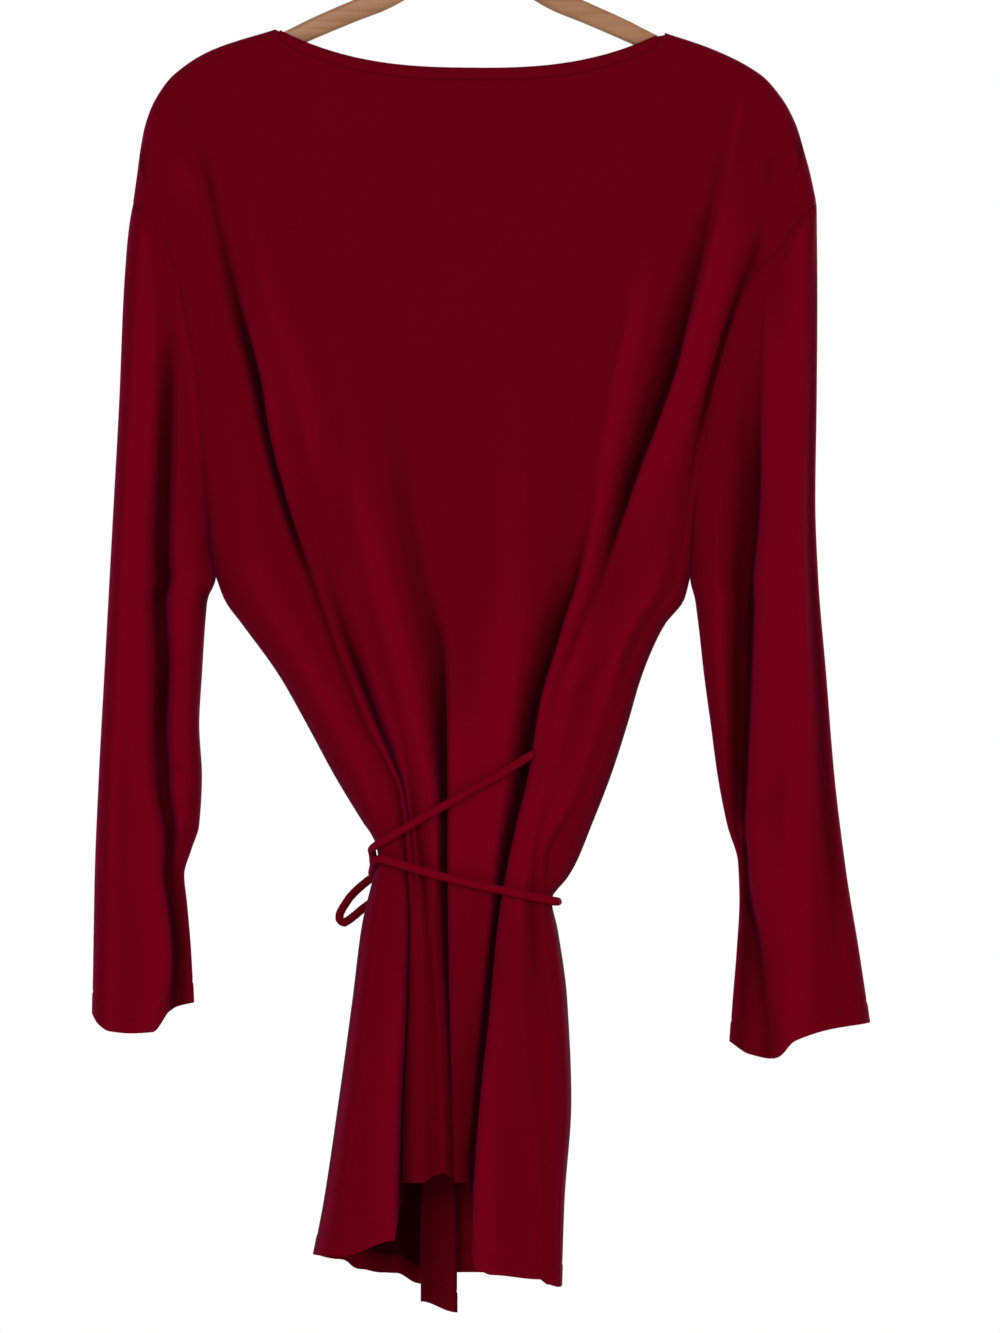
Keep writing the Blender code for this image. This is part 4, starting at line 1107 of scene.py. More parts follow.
sleeves = {
    "levels": (198, 272, 345, 400, 473, 547, 620, 675, 735),
    "bend": 14.0,
    "across": 64,
    "rows": 150,
    "waves": 0.3,
    "foldReach": 6.0,
    "planeReach": 20.0,
    "Left": {
        "outer": ((128, -247), (143, -249.6), (161, -251.5), (198, -254), (272, -257), (345, -261),
                  (400, -264),
                  (473, -268), (547, -272), (620, -275), (675, -276), (735, -277)),
        "inner": ((400, -189), (418, -193), (473, -197), (510, -199), (547, -197), (583, -199), (602, -205),
                  (620, -210), (640, -208), (675, -205), (735, -202)),
        # which column follows the fold, its share of the width at the levels, its depth there
        "back": (
            (.14, (.12, .26, .31, .36, .27, .255, .11, .08, .10),
             (21.5, 21, 20.5, 20, 19.5, 19.5, 13, 6, 4)),
            (.25, (.25, .39, .42, .44, .35, .33, .15, .13, .17), (20.5, 14, 9.5, 7, 6, 9, 9, 4, 2)),
            (.34, (.32, .46, .49, .515, .42, .40, .20, .17, .22), (20.5, 14, 9.5, 7, 7, 10, 10, 4, 2)),
            (.50, (.50, .60, .64, .66, .57, .53, .30, .235, .40), (22, 23, 24, 25, 26, 26, 25.5, 25, 24)),
            (.82, (.80, .82, .84, .85, .82, .80, .78, .76, .74), (22, 23, 24, 25, 26, 26, 27, 27, 26)),
        ),
        "front": (
            (.22, (.22, .22, .24, .26, .28, .28, .26, .24, .24), (21, 20, 19, 18, 19, 20, 20, 21, 22)),
            (.46, (.44, .45, .48, .50, .52, .52, .50, .46, .44), (20, 17, 14, 12, 12, 13, 15, 17, 18)),
            (.78, (.76, .76, .78, .78, .78, .78, .78, .76, .76), (21, 22, 23, 24, 25, 25, 25, 26, 27)),
        ),
        "cuff": ((0.0, 713.5), (0.30, 717), (0.40, 720), (0.50, 734.5), (0.71, 735.5), (0.88, 734),
                 (0.95, 729), (1.0, 721)),
        "frontCuff": ((0.0, 713.5), (0.5, 717), (1.0, 721)),
        "creases": (
            ("outerSoft", "down", ((170, -238), (420, -246), (700, -262)), (0, -0.9, -1.2, 0), (7, 6)),
            ("elbowHigh", "across", ((-219, 458), (-212, 467), (-204, 476)), (0, -2.2, -1.0, 0), (5, 4)),
            ("elbowHighRidge", "across", ((-218, 478), (-208, 486), (-200, 490)), (0, 1.6, 0), (4, 6)),
            ("elbowMiddle", "across", ((-220, 541), (-211, 543), (-201, 549)), (0, -2.8, -2.0, 0), (4, 3)),
            ("elbowLow", "across", ((-218, 572), (-210, 568), (-200, 562)), (0, -1.8, -1.2, 0), (5, 4)),
        ),
    },
    "Right": {
        "outer": ((128, 254), (198, 254.5), (272, 254), (345, 253), (400, 255), (473, 261), (547, 267),
                  (620, 276), (675, 285), (735, 294)),
        "inner": ((400, 163), (437, 168), (473, 172), (510, 177), (547, 182), (583, 189), (611, 197),
                  (638, 198),
                  (675, 196), (712, 193), (740, 191)),
        "back": (
            (.12, (.08, .14, .20, .20, .15, .08, .02, .05, .09), (20, 18, 16, 14, 12, 10, 9, 12, 15)),
            (.25, (.19, .33, .42, .40, .30, .185, .05, .13, .19), (21, 15, 8, 3, 0, 1, 7, 15, 19)),
            (.36, (.28, .45, .53, .49, .385, .25, .085, .19, .26), (21.5, 16, 8, 2, 0, 1, 9, 18, 21)),
            (.46, (.34, .50, .575, .53, .42, .285, .11, .24, .32),
             (22.5, 23, 24.5, 25, 26, 26, 25, 26, 27)),
            (.74, (.86, .86, .87, .86, .80, .72, .55, .47, .44), (24, 27, 29.5, 31, 33, 34, 35, 35, 35)),
            (.90, (.95, .95, .955, .95, .93, .90, .86, .83, .80), (19, 19, 19, 19, 19, 20, 21, 22, 23)),
        ),
        "front": (
            (.22, (.22, .22, .24, .26, .28, .28, .26, .24, .24), (21, 20, 19, 18, 19, 20, 20, 22, 24)),
            (.46, (.44, .45, .48, .50, .52, .52, .50, .48, .46), (20, 17, 14, 12, 12, 13, 16, 18, 20)),
            (.78, (.76, .76, .78, .78, .78, .78, .78, .78, .78), (21, 22, 23, 24, 25, 26, 27, 28, 30)),
        ),
        "cuff": ((0.0, 742), (0.18, 751), (0.40, 754), (0.58, 750), (0.75, 741), (0.87, 732), (1.0, 728)),
        "frontCuff": ((0.0, 742), (0.5, 735), (1.0, 728)),
        "creases": (
            ("outerSoft", "down", ((190, 252), (420, 254), (640, 266)), (0, -0.6, -1.0, 0), (4, 7)),
            ("outerRidge", "down", ((150, 241), (300, 242.5), (440, 243), (590, 241.5), (704, 232)),
             (0, 3.0, 3.6, 3.4, 1.6), (9, 5)),
            ("armpitFold", "across", ((165, 392), (172, 404), (182, 422)), (0, -2.0, 0), (4, 6)),
            ("cuffFlare", "down", ((540, 262), (640, 262), (735, 268)), (0, -1.6, -1.6, 0), (10, 9)),
            ("cuffSwell", "down", ((640, 232), (690, 234), (740, 238)), (0, 1.4, 1.2, 0), (9, 9)),
        ),
    },
}


def sleeveGrid(side):
    # rings of (x, depth, drop) down a sleeve, from the underarm up its back and down its front
    sizes = sleeves[side]
    outward = -1 if side == "Left" else 1
    armhole = seams["armhole" + side]
    underarm = garment["underarmDrop"]
    edge = [armhole[0][0] + step for step in (0.0, 1.2, 4.0, 8.0, 13.0, 24.0)]
    seam = (edge + [mix(edge[-1], underarm, (row + 1) / 8) for row in range(8)])[::-1]
    last = len(seam) - 1
    count = sleeves["across"]
    # columns close together at both edges, where the sleeve turns over
    spread = [0.5 - 0.5 * math.cos(math.pi * i / count) for i in range(count + 1)]
    spread = [mix(i / count, s, 0.25) for i, s in enumerate(spread)]
    lines = [(-1, s) for s in spread] + [(1, s) for s in spread[-2:0:-1]]
    columns = []
    for face, share in lines:
        step = share * last
        along = mix((1 - math.cos(math.pi * share)) / 2, share, 0.4)
        start = float(np.interp(step, range(last + 1), seam))
        stop = float(throughKnots(sizes["cuff" if face < 0 else "frontCuff"], along))
        rows = np.linspace(0, 1, sleeves["rows"] + 1)
        drop = np.concatenate([mix(start, stop - 21.0, rows), stop - hemSteps])
        outer = throughKnots(sizes["outer"], drop)
        above = drop < underarm
        seamStep = throughKnots([(height, last - i) for i, height in enumerate(seam[::-1])], drop)
        across = np.where(above, (step - seamStep) / np.maximum(1e-6, last - seamStep), share)
        across = np.clip(across, 0, 1)
        innerHigh = throughKnots([knot[:2] for knot in armhole], drop) - outward * 0.2
        foot = armhole[-1][1] - outward * 0.2
        innerLow = mix(foot, throughKnots(sizes["inner"], drop), smooth((drop - underarm) / 18))
        inner = np.where(above, innerHigh, innerLow)
        seamDepth = np.where(above, throughKnots([(knot[0], knot[2]) for knot in armhole], drop), 0.0)
        folded = mix((1 - np.cos(np.pi * across)) / 2, across, 0.4)
        width = abs(outer - inner)
        folds = sizes["back" if face < 0 else "front"]
        places = [0.0] + [fold[0] for fold in folds] + [1.0]
        shares, depths = ([throughKnots(list(zip(sleeves["levels"], fold[row])), drop) for fold in folds]
                          for row in (1, 2))
        shares = [np.zeros_like(drop)] + shares + [np.ones_like(drop)]
        at = np.empty_like(drop)
        depth = np.empty_like(drop)
        for i, value in enumerate(folded):
            at[i] = throughColumns(places, [s[i:i + 1] for s in shares], value)[0]
            depth[i] = throughColumns(places[1:-1], [d[i:i + 1] for d in depths], value)[0]
        turn = quarter((1 - at) * width / sleeves["bend"])
        atSeam = seamDepth * turn / np.maximum(0.02, quarter(width / sleeves["bend"]))
        depth = mix(atSeam, depth * turn, quarter(at * width / sleeves["bend"]))
        x = mix(inner, outer, at)
        calm = smooth(np.minimum(at, 1 - at) * width / 14) * smooth((drop - start) / 30)
        more = unevenness(x, drop, 3 * outward + face, sleeves["waves"])
        if face < 0:
            for crease in sizes["creases"]:
                more = more + creaseDepth(crease, x, drop)
        depth = depth + more * calm
        columns.append(np.stack([x, face * depth, drop], axis=1))
    return np.stack(columns, axis=1)


def buildSleeve(side, node):
    grid = sleeveGrid(side)
    points = inRoom(grid, 1)
    outward = 1 if side == "Left" else -1
    lengths = arcLengths(points, 0)
    hem = (lengths[-1][None, :] - lengths) * 1000
    seam = lengths * 1000
    normals = normalsOf(points, True, -outward)
    points = hemChannel(points, normals, hem)
    # the back half of each ring comes first, then its front half
    half = sleeves["across"] + 1
    back, front, x = grid[:, :half], grid[:, half:], grid[..., 0]
    edges = np.minimum(x - x.min(axis=1, keepdims=True), x.max(axis=1, keepdims=True) - x)
    calm = smooth(edges / 9) * smooth(seam / 22)
    # painted shade in the folds and painted highlight on the ridges, from how far each point lies behind the
    # cloth around it
    relief = []
    for reach in (sleeves["foldReach"], sleeves["planeReach"]):
        behind = hollowness(back[..., 0], -back[..., 1], reach)
        before = hollowness(front[..., 0], front[..., 1], reach)
        relief.append(calm * np.concatenate([behind, before], axis=1))
    foldShading, swell = relief
    drop = grid[..., 2]
    # painted shade in the crease of the armpit, close under the armhole's seam
    foldShading = np.maximum(foldShading, armpitShadeDepth(drop) * np.exp(-(seam / 3.0)**2))
    # the painted shade along the armhole's seam stops below a drop of 150 mm
    seam = seam + 3.0 * smooth((drop - 150) / 25)
    # painted shade on the sleeve's inner face: the far layer of the cuff hangs in the near one's shade
    within = 4.5 * smooth((hem - 4) / 25)
    obj = clothFrom("sleeve" + side + "Cloth", points, True, outward, clothMaterial,
                    {"hem": hem, "seam": seam, "foldShading": foldShading, "swell": swell, "within": within})
    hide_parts(node)
    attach(obj, "root")
    return points, normals, hem


sleeveLeftSurface = buildSleeve("Left", "sleeve_left")
sleeveRightSurface = buildSleeve("Right", "sleeve_right")
print("sleeves made")


# binding of the back neck

neckBand = {
    "width": 9.0,
    "rows": 10,
    "standsOff": 1.15,
    "inFromNeckPoint": 2.0,
}


def alongColumn(points, offsets):
    # points at given distances down each column of a grid, in metres
    lengths = arcLengths(points, 0)
    out = np.empty((len(offsets), points.shape[1], 3))
    for c in range(points.shape[1]):
        for axis in range(3):
            out[:, c, axis] = np.interp(offsets, lengths[:, c], points[:, c, axis])
    return out


def buildNeckBand():
    backPoints = backSurface[0]
    halfWidth = (garment["neckHalfWidth"] - neckBand["inFromNeckPoint"]) * 0.001
    inside = np.flatnonzero(abs(backPoints[0, :, 0]) < halfWidth)
    # even columns across, so that the binding reads as one narrow strip
    xs = np.linspace(-halfWidth, halfWidth, 140)
    top = backPoints[:, inside]
    even = np.empty((top.shape[0], len(xs), 3))
    for r in range(top.shape[0]):
        for axis in range(3):
            even[r, :, axis] = np.interp(xs, top[0, :, 0], top[r, :, axis])
    offsets = np.linspace(0.25, neckBand["width"], neckBand["rows"]) * 0.001
    strip = alongColumn(even, offsets)
    out = normalsOf(strip, False, 1)
    across = np.linspace(-1, 1, neckBand["rows"])
    # the binding is rolled: fullest along its middle
    swell = (1 - across**2)[:, None] * 0.35
    stand = np.linspace(neckBand["standsOff"], 0.80, neckBand["rows"])[:, None]
    strip = strip + out * ((stand + swell) * 0.001)[..., None]
    near = np.repeat((np.minimum(1 + across, 1 - across) * neckBand["width"] / 2)[:, None], len(xs), axis=1)
    # a faint painted shade along the band's two edges, weaker than by a seam
    obj = clothFrom("neckBandCloth", strip, False, 1, clothMaterial, {"seam": near + 1.6})
    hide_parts("neck_band")
    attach(obj, "root")


buildNeckBand()
print("neck band made")

# stitching

stitches = {
    "length": 0.0022,
    "pitch": 0.0029,
    "thickness": 0.00032,
    "hemRow": 13.6,
    "rowApart": 3.0,
    "edgeRow": 6.0,
}


def rowAcross(points, normals, hem, height):
    # the line at one height above the hem, with its normals
    line, out = [], []
    for c in range(points.shape[1]):
        order = hem[:, c][::-1]
        line.append([np.interp(height, order, points[:, c, axis][::-1]) for axis in range(3)])
        out.append([np.interp(height, order, normals[:, c, axis][::-1]) for axis in range(3)])
    return np.array(line), np.array(out)


def evenSpots(line, normals, pitch, closed=False):
    if closed:
        line, normals = np.vstack([line, line[:1]]), np.vstack([normals, normals[:1]])
    run = np.concatenate([[0], np.cumsum(np.linalg.norm(np.diff(line, axis=0), axis=1))])
    at = np.arange(0.5 * pitch, run[-1] - 0.5 * pitch, pitch)

    def take(values, where):
        return np.stack([np.interp(where, run, values[:, axis]) for axis in range(3)], axis=1)

    ahead = take(line, at + 0.3 * pitch) - take(line, at - 0.3 * pitch)
    return take(line, at), ahead, take(normals, at)


def stitchMesh(name, spots, ahead, normals, lift):
    # each stitch is a short bent thread that dips into the cloth at both ends
    half, thick = 0.5 * stitches["length"], 0.5 * stitches["thickness"]
    profile = [(-1.0, -0.9, 0.35), (-0.62, 0.2, 0.95), (0.0, 0.5, 1.0), (0.62, 0.2, 0.95), (1.0, -0.9, 0.35)]
    points, faces = [], []
    for spot, way, out in zip(spots, ahead, normals):
        way = way / max(1e-9, np.linalg.norm(way))
        out = out - way * np.dot(out, way)
        out = out / max(1e-9, np.linalg.norm(out))
        side = np.cross(way, out)
        base = len(points)
        for along, up, girth in profile:
            middle = spot + way * along * half + out * (lift + up * thick)
            for k in range(4):
                turn = math.pi / 4 + k * math.pi / 2
                points.append(middle + (side * math.cos(turn) + out * math.sin(turn)) * thick * girth)
        for ring in range(len(profile) - 1):
            for k in range(4):
                a, b = base + ring * 4 + k, base + ring * 4 + (k + 1) % 4
                faces.append((a, b, b + 4, a + 4))
        faces.append(tuple(base + k for k in (3, 2, 1, 0)))
        faces.append(tuple(base + (len(profile) - 1) * 4 + k for k in range(4)))
    mesh = bpy.data.meshes.new(name)
    mesh.from_pydata([tuple(p) for p in points], [], faces)
    mesh.update()
    obj = bpy.data.objects.new(name, mesh)
    bpy.context.scene.collection.objects.link(obj)
    obj.data.shade_smooth()
    deselectAll()
    obj.data.materials.append(threadRed)
    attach(obj, "root")
    return obj


def hemStitches(name, surface, closed=False):
    # the twin needle rows of a coverstitched hem
    points, normals, hem = surface
    rows = []
    for row in (0, 1):
        line, out = rowAcross(points, normals, hem, stitches["hemRow"] - row * stitches["rowApart"])
        rows.append(evenSpots(line, out, stitches["pitch"], closed))
    spots, ahead, out = (np.vstack(part) for part in zip(*rows))
    return stitchMesh(name, spots, ahead, out, 0.5 * garment["hemThickness"] * 0.001)


def edgeStitches(name, surface, order):
    # one row of stitches down a front edge, at a steady distance from it; order is 1 where the edge
    # is the panel's first column and -1 where it is its last
    points, normals = surface[0][:, ::order], surface[1][:, ::order]
    across = arcLengths(points, 1) * 1000
    row, columns = stitches["edgeRow"], range(3)
    line, out = (np.array([[np.interp(row, across[r], values[r, :, axis]) for axis in columns]
                           for r in range(len(points))]) for values in (points, normals))
    spots, ahead, out = evenSpots(line, out, stitches["pitch"])
    return stitchMesh(name, spots, ahead, out, 0.5 * garment["clothThickness"] * 0.001)


hemStitches("backHemStitches", backSurface)
hemStitches("frontLeftHemStitches", frontLeftSurface)
hemStitches("frontRightHemStitches", frontRightSurface)
hemStitches("cuffLeftStitches", sleeveLeftSurface, True)
hemStitches("cuffRightStitches", sleeveRightSurface, True)
edgeStitches("frontLeftEdgeStitches", frontLeftSurface, -1)
edgeStitches("frontRightEdgeStitches", frontRightSurface, 1)
print("stitching made")


# the hanger

hanger = {
    # x from the middle, drop of the upper edge, height
    "arm": ((0, -62, 24), (14, -60, 24), (30, -53, 21), (44, -42, 18), (60, -32, 17), (85, -21.5, 16.5),
            (115, -8.2, 16), (143, 5.4, 15), (178, 18, 14), (196, 26.5, 12), (207, 34, 8.5)),
    "tilt": 0.008,
    "thickness": 10.0,
    "edge": 3.0,
    "tipFrom": 196.0,
    "tipLength": 11.6,
    "wire": 3.6,
    "hookRadius": 19.0,
    "hookEnd": math.radians(202),
    # where the wire leaves the upright and leans out to the hook
    "neckBend": 15.0,
    "neckTurn": math.radians(50),
}


def armSection(x):
    # middle height and half height of the arms at x, and how much of the full section is left at a tip
    reach = abs(x)
    upper = float(throughKnots([row[:2] for row in hanger["arm"]], reach))
    half = 0.5 * float(throughKnots([row[::2] for row in hanger["arm"]], reach))
    past = max(0.0, (reach - hanger["tipFrom"]) / hanger["tipLength"])
    left = mix(0.25, 1.0, math.sqrt(1 - past**2))
    return -(garment["neckBelowRail"] + upper + half + hanger["tilt"] * x), half, left


def extrudeArm(obj, start, stations):
    # draws the selected end section on, station by station, and gives each its own height
    at = start
    middle, half, left = armSection(at)
    for x in stations:
        nextMiddle, nextHalf, nextLeft = armSection(x)
        step = ((x - at) * 0.001, 0, (nextMiddle - middle) * 0.001)
        bpy.ops.mesh.extrude_region_move(TRANSFORM_OT_translate={"value": step})
        here, level = x * 0.001, nextMiddle * 0.001
        if nextLeft == 1.0:
            for way in (1, -1):
                selectWhere(obj, lambda co: abs(co.x - here) < 1e-5 and (co.z - level) * way > 0)
                bpy.ops.transform.translate(value=(0, 0, way * (nextHalf - half) * 0.001))
            selectWhere(obj, lambda co: abs(co.x - here) < 1e-5)
        else:
            size = (1, nextLeft / left, nextLeft * nextHalf / (left * half))
            bpy.ops.transform.resize(value=size, center_override=(here, 0, level))
        at, middle, half, left = x, nextMiddle, nextHalf, nextLeft


def buildHangerArms():
    # a section with round corners, extruded from one arm through the middle to the other
    end = hanger["tipFrom"]
    middle, half, _ = armSection(-end)
    deselectAll()
    bpy.ops.mesh.primitive_plane_add(size=0.001, location=(-end * 0.001, 0, middle * 0.001),
                                     rotation=(0, math.pi / 2, 0))
    obj = bpy.context.object
    obj.scale = (2 * half, hanger["thickness"], 1)
    startEditing(obj, "hangerArmsWood")
    bpy.ops.mesh.bevel(offset=hanger["edge"] * 0.001, segments=5, affect="VERTICES")
    extrudeArm(obj, -end, np.linspace(-end, end, 147)[1:])
    tip = end + (hanger["tipLength"] - 0.2) * np.sin(np.linspace(0, math.pi / 2, 10)[1:])
    extrudeArm(obj, end, tip)
    selectWhere(obj, lambda co: abs(co.x + end * 0.001) < 1e-5)
    extrudeArm(obj, -end, -tip)
    finishEditing()
    obj.data.materials.append(hangerWood)
    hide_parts("hanger_arms")
    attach(obj, "root")
    return obj


def buildHook():
    # a round wire drawn up out of the arms, bent aside, led on and bent round into the hook
    wire = 0.5 * hanger["wire"]
    radius, centre = hanger["hookRadius"] + wire, -hanger["hookRadius"]
    bend, turn = hanger["neckBend"], hanger["neckTurn"]
    run = (radius * math.cos(turn) - bend * (1 - math.cos(turn))) / math.sin(turn)
    bendFrom = centre - (radius + bend) * math.sin(turn) - run * math.cos(turn)
    foot = -(garment["neckBelowRail"] + hanger["arm"][0][1] - 0.3)
    deselectAll()
    bpy.ops.mesh.primitive_circle_add(vertices=20, radius=wire * 0.001, fill_type="NGON",
                                      location=(0, 0, foot * 0.001))
    obj = bpy.context.object
    startEditing(obj, "hangerHookWire")
    bpy.ops.mesh.extrude_region_move(TRANSFORM_OT_translate={"value": (0, 0, (bendFrom - foot) * 0.001)})
    bpy.ops.mesh.spin(steps=12, angle=-turn, center=(bend * 0.001, 0, bendFrom * 0.001), axis=(0, 1, 0))
    onward = (run * math.sin(turn) * 0.001, 0, run * math.cos(turn) * 0.001)
    bpy.ops.mesh.extrude_region_move(TRANSFORM_OT_translate={"value": onward})
    bpy.ops.mesh.spin(steps=76, angle=hanger["hookEnd"] + turn, center=(0, 0, centre * 0.001), axis=(0, 1, 0))
    finishEditing()
    obj.data.materials.append(platedWire)
    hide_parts("hanger_hook")
    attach(obj, "root")
    return obj


buildHangerArms()
buildHook()
print("hanger made")

# the tie

tie = {
    "diameter": 0.006,
    "sides": 20,
    "step": 0.0008,
    # its routes, point by point, are those of the CAD solids
    "routes": {
        "strandHigh": (
            (0.0460, -0.0344, -0.6560), (0.0236, -0.0382, -0.6698), (0.0155, -0.0387, -0.6744),
            (0.0012, -0.0386, -0.6823),
            (-0.0212, -0.0386, -0.6950), (-0.0355, -0.0385, -0.7031), (-0.0436, -0.0380, -0.7079),
            (-0.0609, -0.0354, -0.7180),
            (-0.0641, -0.0345, -0.7199), (-0.0668, -0.0327, -0.7216), (-0.0691, -0.0299, -0.7230),
            (-0.0696, -0.0287, -0.7235),
            (-0.0711, -0.0254, -0.7247), (-0.0718, -0.0219, -0.7257), (-0.0719, -0.0181, -0.7265),
            (-0.0716, -0.0060, -0.7285),
            (-0.0713, 0.0120, -0.7320), (-0.0713, 0.0254, -0.7350), (-0.0711, 0.0284, -0.7356),
            (-0.0702, 0.0311, -0.7360),
            (-0.0685, 0.0337, -0.7362), (-0.0649, 0.0382, -0.7365)),
        "strandLow": (
            (-0.0200, 0.0441, -0.7610), (-0.0056, 0.0444, -0.7629), (0.0088, 0.0436, -0.7646),
            (0.0232, 0.0421, -0.7655),
            (0.0314, 0.0412, -0.7659), (0.0371, 0.0399, -0.7659), (0.0401, 0.0391, -0.7658),
            (0.0430, 0.0379, -0.7657),
            (0.0457, 0.0364, -0.7655), (0.0490, 0.0343, -0.7653), (0.0511, 0.0332, -0.7651),
            (0.0533, 0.0325, -0.7650),
            (0.0564, 0.0322, -0.7650), (0.0585, 0.0317, -0.7650), (0.0610, 0.0285, -0.7650),
            (0.0620, 0.0254, -0.7650),
            (0.0635, 0.0181, -0.7649), (0.0639, 0.0144, -0.7648), (0.0644, 0.0040, -0.7645),
            (0.0643, -0.0120, -0.7640),
            (0.0630, -0.0267, -0.7636), (0.0609, -0.0303, -0.7632), (0.0587, -0.0310, -0.7628),
            (0.0553, -0.0314, -0.7622),
            (0.0529, -0.0322, -0.7617), (0.0506, -0.0332, -0.7613), (0.0426, -0.0375, -0.7595),
            (0.0401, -0.0386, -0.7590),
            (0.0350, -0.0394, -0.7579), (0.0300, -0.0393, -0.7568), (0.0060, -0.0390, -0.7517),
            (-0.0180, -0.0387, -0.7460),
            (-0.0420, -0.0377, -0.7394), (-0.0607, -0.0354, -0.7336), (-0.0639, -0.0345, -0.7328),
            (-0.0665, -0.0326, -0.7327),
            (-0.0690, -0.0288, -0.7334), (-0.0704, -0.0221, -0.7348), (-0.0706, -0.0060, -0.7375),
            (-0.0715, 0.0120, -0.7410),
            (-0.0720, 0.0252, -0.7436), (-0.0711, 0.0310, -0.7449), (-0.0694, 0.0335, -0.7456),
            (-0.0655, 0.0379, -0.7469)),
        "bowLoopOut": (
            (-0.0632, 0.0498, -0.7429), (-0.0706, 0.0499, -0.7471), (-0.0735, 0.0497, -0.7487),
            (-0.0761, 0.0491, -0.7505),
            (-0.0805, 0.0470, -0.7541), (-0.0850, 0.0445, -0.7582), (-0.0890, 0.0425, -0.7626),
            (-0.0925, 0.0406, -0.7678),
            (-0.0952, 0.0389, -0.7724), (-0.0963, 0.0379, -0.7761), (-0.0956, 0.0375, -0.7789),
            (-0.0934, 0.0372, -0.7806),
            (-0.0904, 0.0376, -0.7794), (-0.0862, 0.0385, -0.7764), (-0.0844, 0.0393, -0.7749),
            (-0.0790, 0.0420, -0.7704),
            (-0.0733, 0.0458, -0.7663), (-0.0692, 0.0479, -0.7634), (-0.0674, 0.0483, -0.7607),
            (-0.0601, 0.0490, -0.7488)),
        "bowLoopIn": (
            (-0.0476, 0.0491, -0.7401), (-0.0398, 0.0458, -0.7461), (-0.0373, 0.0451, -0.7481),
            (-0.0329, 0.0458, -0.7526),
            (-0.0281, 0.0483, -0.7584), (-0.0243, 0.0497, -0.7636), (-0.0226, 0.0498, -0.7664),
            (-0.0194, 0.0496, -0.7726),
            (-0.0166, 0.0495, -0.7786), (-0.0143, 0.0496, -0.7850), (-0.0138, 0.0496, -0.7876),
            (-0.0153, 0.0499, -0.7926),
            (-0.0174, 0.0501, -0.7952), (-0.0194, 0.0503, -0.7956), (-0.0224, 0.0504, -0.7943),
            (-0.0267, 0.0502, -0.7908),
            (-0.0321, 0.0484, -0.7839), (-0.0359, 0.0477, -0.7786), (-0.0402, 0.0483, -0.7721),
            (-0.0435, 0.0488, -0.7664),
            (-0.0508, 0.0489, -0.7487)),
        "endLeft": (
            (-0.0583, 0.0406, -0.7514), (-0.0581, 0.0362, -0.7643), (-0.0580, 0.0350, -0.7720),
            (-0.0580, 0.0401, -0.7950),
            (-0.0590, 0.0444, -0.8250), (-0.0600, 0.0472, -0.8550), (-0.0610, 0.0479, -0.8850),
            (-0.0610, 0.0491, -0.9190)),
        "endRight": (
            (-0.0486, 0.0380, -0.7496), (-0.0460, 0.0406, -0.7700), (-0.0460, 0.0426, -0.7950),
            (-0.0470, 0.0452, -0.8250),
            (-0.0490, 0.0467, -0.8550), (-0.0510, 0.0476, -0.8990)),
    },
    "knotCentre": (-0.056, 0.0416, -0.742),
    "knotHalf": (0.0100, 0.0075, 0.0090),
}


def tieShape(seed):
    # a sewn and turned tube: a little flat, seamed down one side, crumpled where it bends
    def shape(run, angle, bend):
        seam = 1 - 0.10 * math.exp(-(math.remainder(angle - 1.1, 2 * math.pi) / 0.16)**2)
        flat = 1 + 0.05 * math.cos(2 * angle + seed)
        crumple = min(1.0, bend / 120.0)
        wave = math.sin(run * 1900 + 2.2 * math.sin(angle * 2 + seed) + seed * 3)
        wave = wave * math.sin(run * 610 + angle + seed)
        return seam * flat * (0.985 + (0.018 + 0.055 * crumple) * wave)
    return shape


def buildTieTube(name, key, node, seed):
    route = smoothRoute(tie["routes"][key], tie["step"])
    obj = tubeMesh(name, route, 0.5 * tie["diameter"], tie["sides"], tieShape(seed))
    obj.data.materials.append(tieMaterial)
    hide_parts(node)
    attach(obj, "root")
    path = route[::3].tolist()
    path = path if (len(route) - 1) % 3 == 0 else path + [route[-1].tolist()]


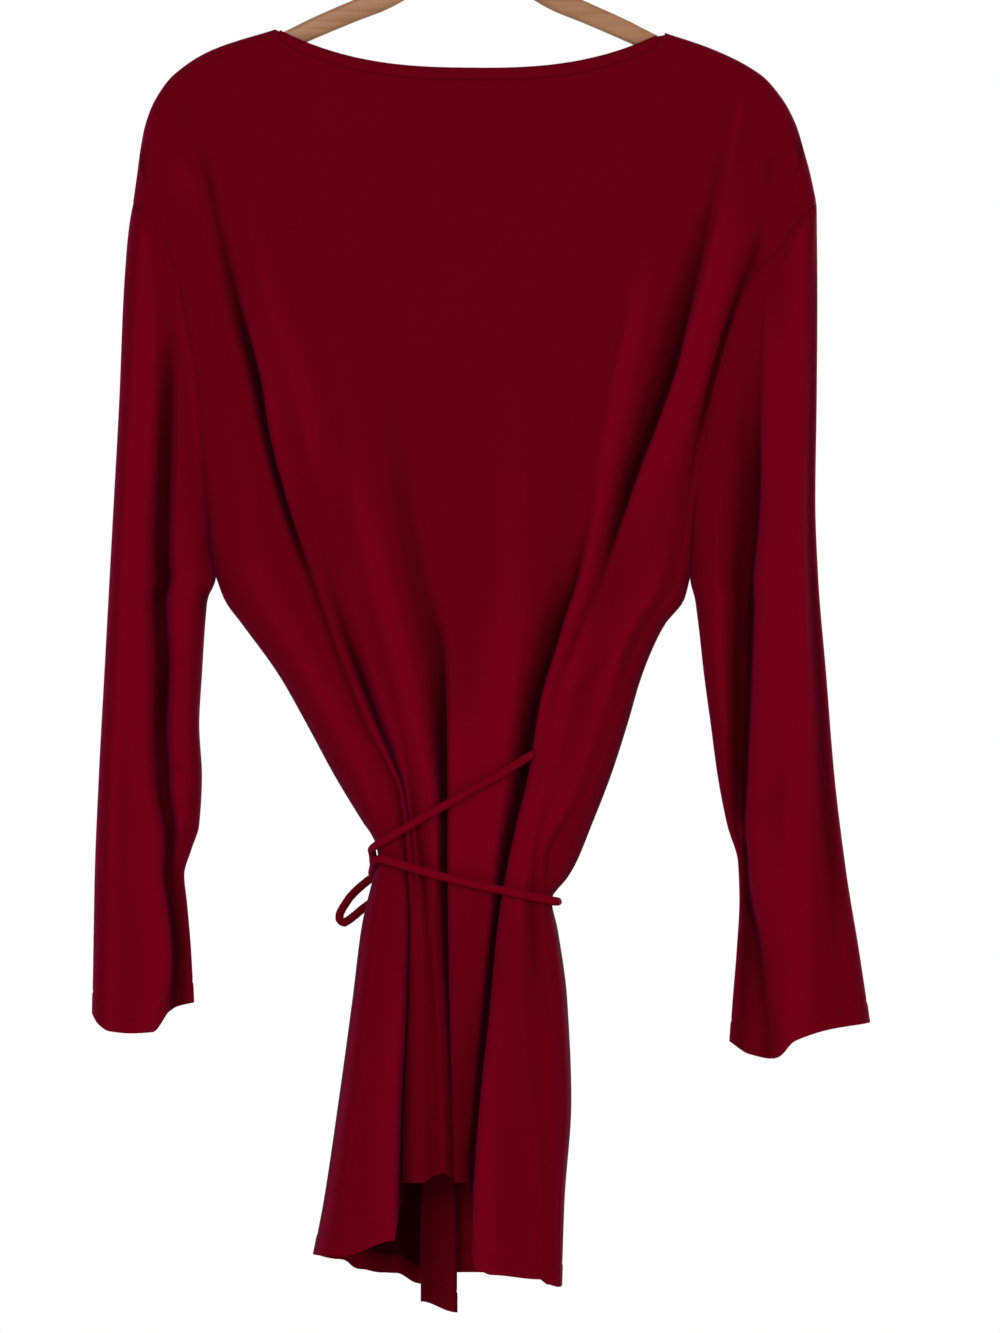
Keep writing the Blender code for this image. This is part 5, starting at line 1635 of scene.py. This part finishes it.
def buildKnot():
    # a tight bundle with one turn of the tie drawn round its middle
    centre = np.array(tie["knotCentre"])
    half = np.array(tie["knotHalf"])
    rings, width = 40, 56
    points = np.empty((rings + 1, width, 3))
    for r in range(rings + 1):
        fall = math.pi * (r + 0.35) / (rings + 0.7)
        for k in range(width):
            turn = 2 * math.pi * k / width
            way = np.array((math.sin(fall) * math.cos(turn), math.sin(fall) * math.sin(turn), math.cos(fall)))
            lean = way[0] + 0.28 * way[2]
            band = float(smooth((0.50 - abs(lean)) / 0.12))
            pleat = 0.035 * math.sin(11 * way[2] + 5 * way[0]) * (1 - band)
            roll = 0.030 * math.cos(lean / 0.50 * math.pi / 2) * band
            wraps = 0.88 + 0.09 * band + pleat + roll
            points[r, k] = centre + way * half * wraps
    u = np.tile(np.linspace(0, 0.05, width + 1), (rings + 1, 1))
    v = np.tile(np.linspace(0, 0.026, rings + 1)[:, None], (1, width + 1))
    obj = gridMesh("tieKnotWrap", points, True, 1, u, v, plainCloth(points.shape[:2]))
    closeEnds(obj, width)
    obj.data.materials.append(tieMaterial)
    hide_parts("tie_knot")
    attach(obj, "root")
    return obj


tieKnotWrap = buildKnot()
buildTieTube("tieStrandHigh", "strandHigh", "tie_strand_high", 0.4)
buildTieTube("tieStrandLow", "strandLow", "tie_strand_low", 1.7)
buildTieTube("bowLoopOut", "bowLoopOut", "bow_loop_out", 2.9)
buildTieTube("bowLoopIn", "bowLoopIn", "bow_loop_in", 4.1)
buildTieTube("tieEndLeft", "endLeft", "tie_end_left", 5.2)
buildTieTube("tieEndRight", "endRight", "tie_end_right", 0.9)
print("tie made")

def buildFloor():
    deselectAll()
    bpy.ops.mesh.primitive_circle_add(vertices=96, radius=room["floorRadius"], fill_type="NGON",
                                      location=(0, 0, room["floorHeight"]))
    floor = bpy.context.object
    startEditing(floor, "paleFloor")
    bpy.ops.mesh.extrude_region_move(TRANSFORM_OT_translate={"value": (0, 0, -room["floorThickness"])})
    finishEditing()
    material, tree, shader = newMaterial("paleFloorPaint")
    place = tree.nodes.new("ShaderNodeTexCoord")
    mottle = noiseNode(tree, place.outputs["Object"], 6.0, 3.0)
    colour = mixColours(tree, mottle, (0.86, 0.86, 0.85, 1), (0.90, 0.90, 0.89, 1))
    tree.links.new(colour, shader.inputs["Base Color"])
    shader.inputs["Roughness"].default_value = 0.8
    floor.data.materials.append(material)


def buildLamp(name, place, size, power):
    data = bpy.data.lights.new(name, "AREA")
    data.shape = "RECTANGLE"
    data.size = data.size_y = size
    data.energy = power
    obj = bpy.data.objects.new(name, data)
    bpy.context.scene.collection.objects.link(obj)
    obj.location = place
    obj.rotation_euler = (Vector(room["aim"]) - Vector(place)).to_track_quat("-Z", "Y").to_euler()


buildFloor()
for lamp in room["lamps"]:
    buildLamp(*lamp)
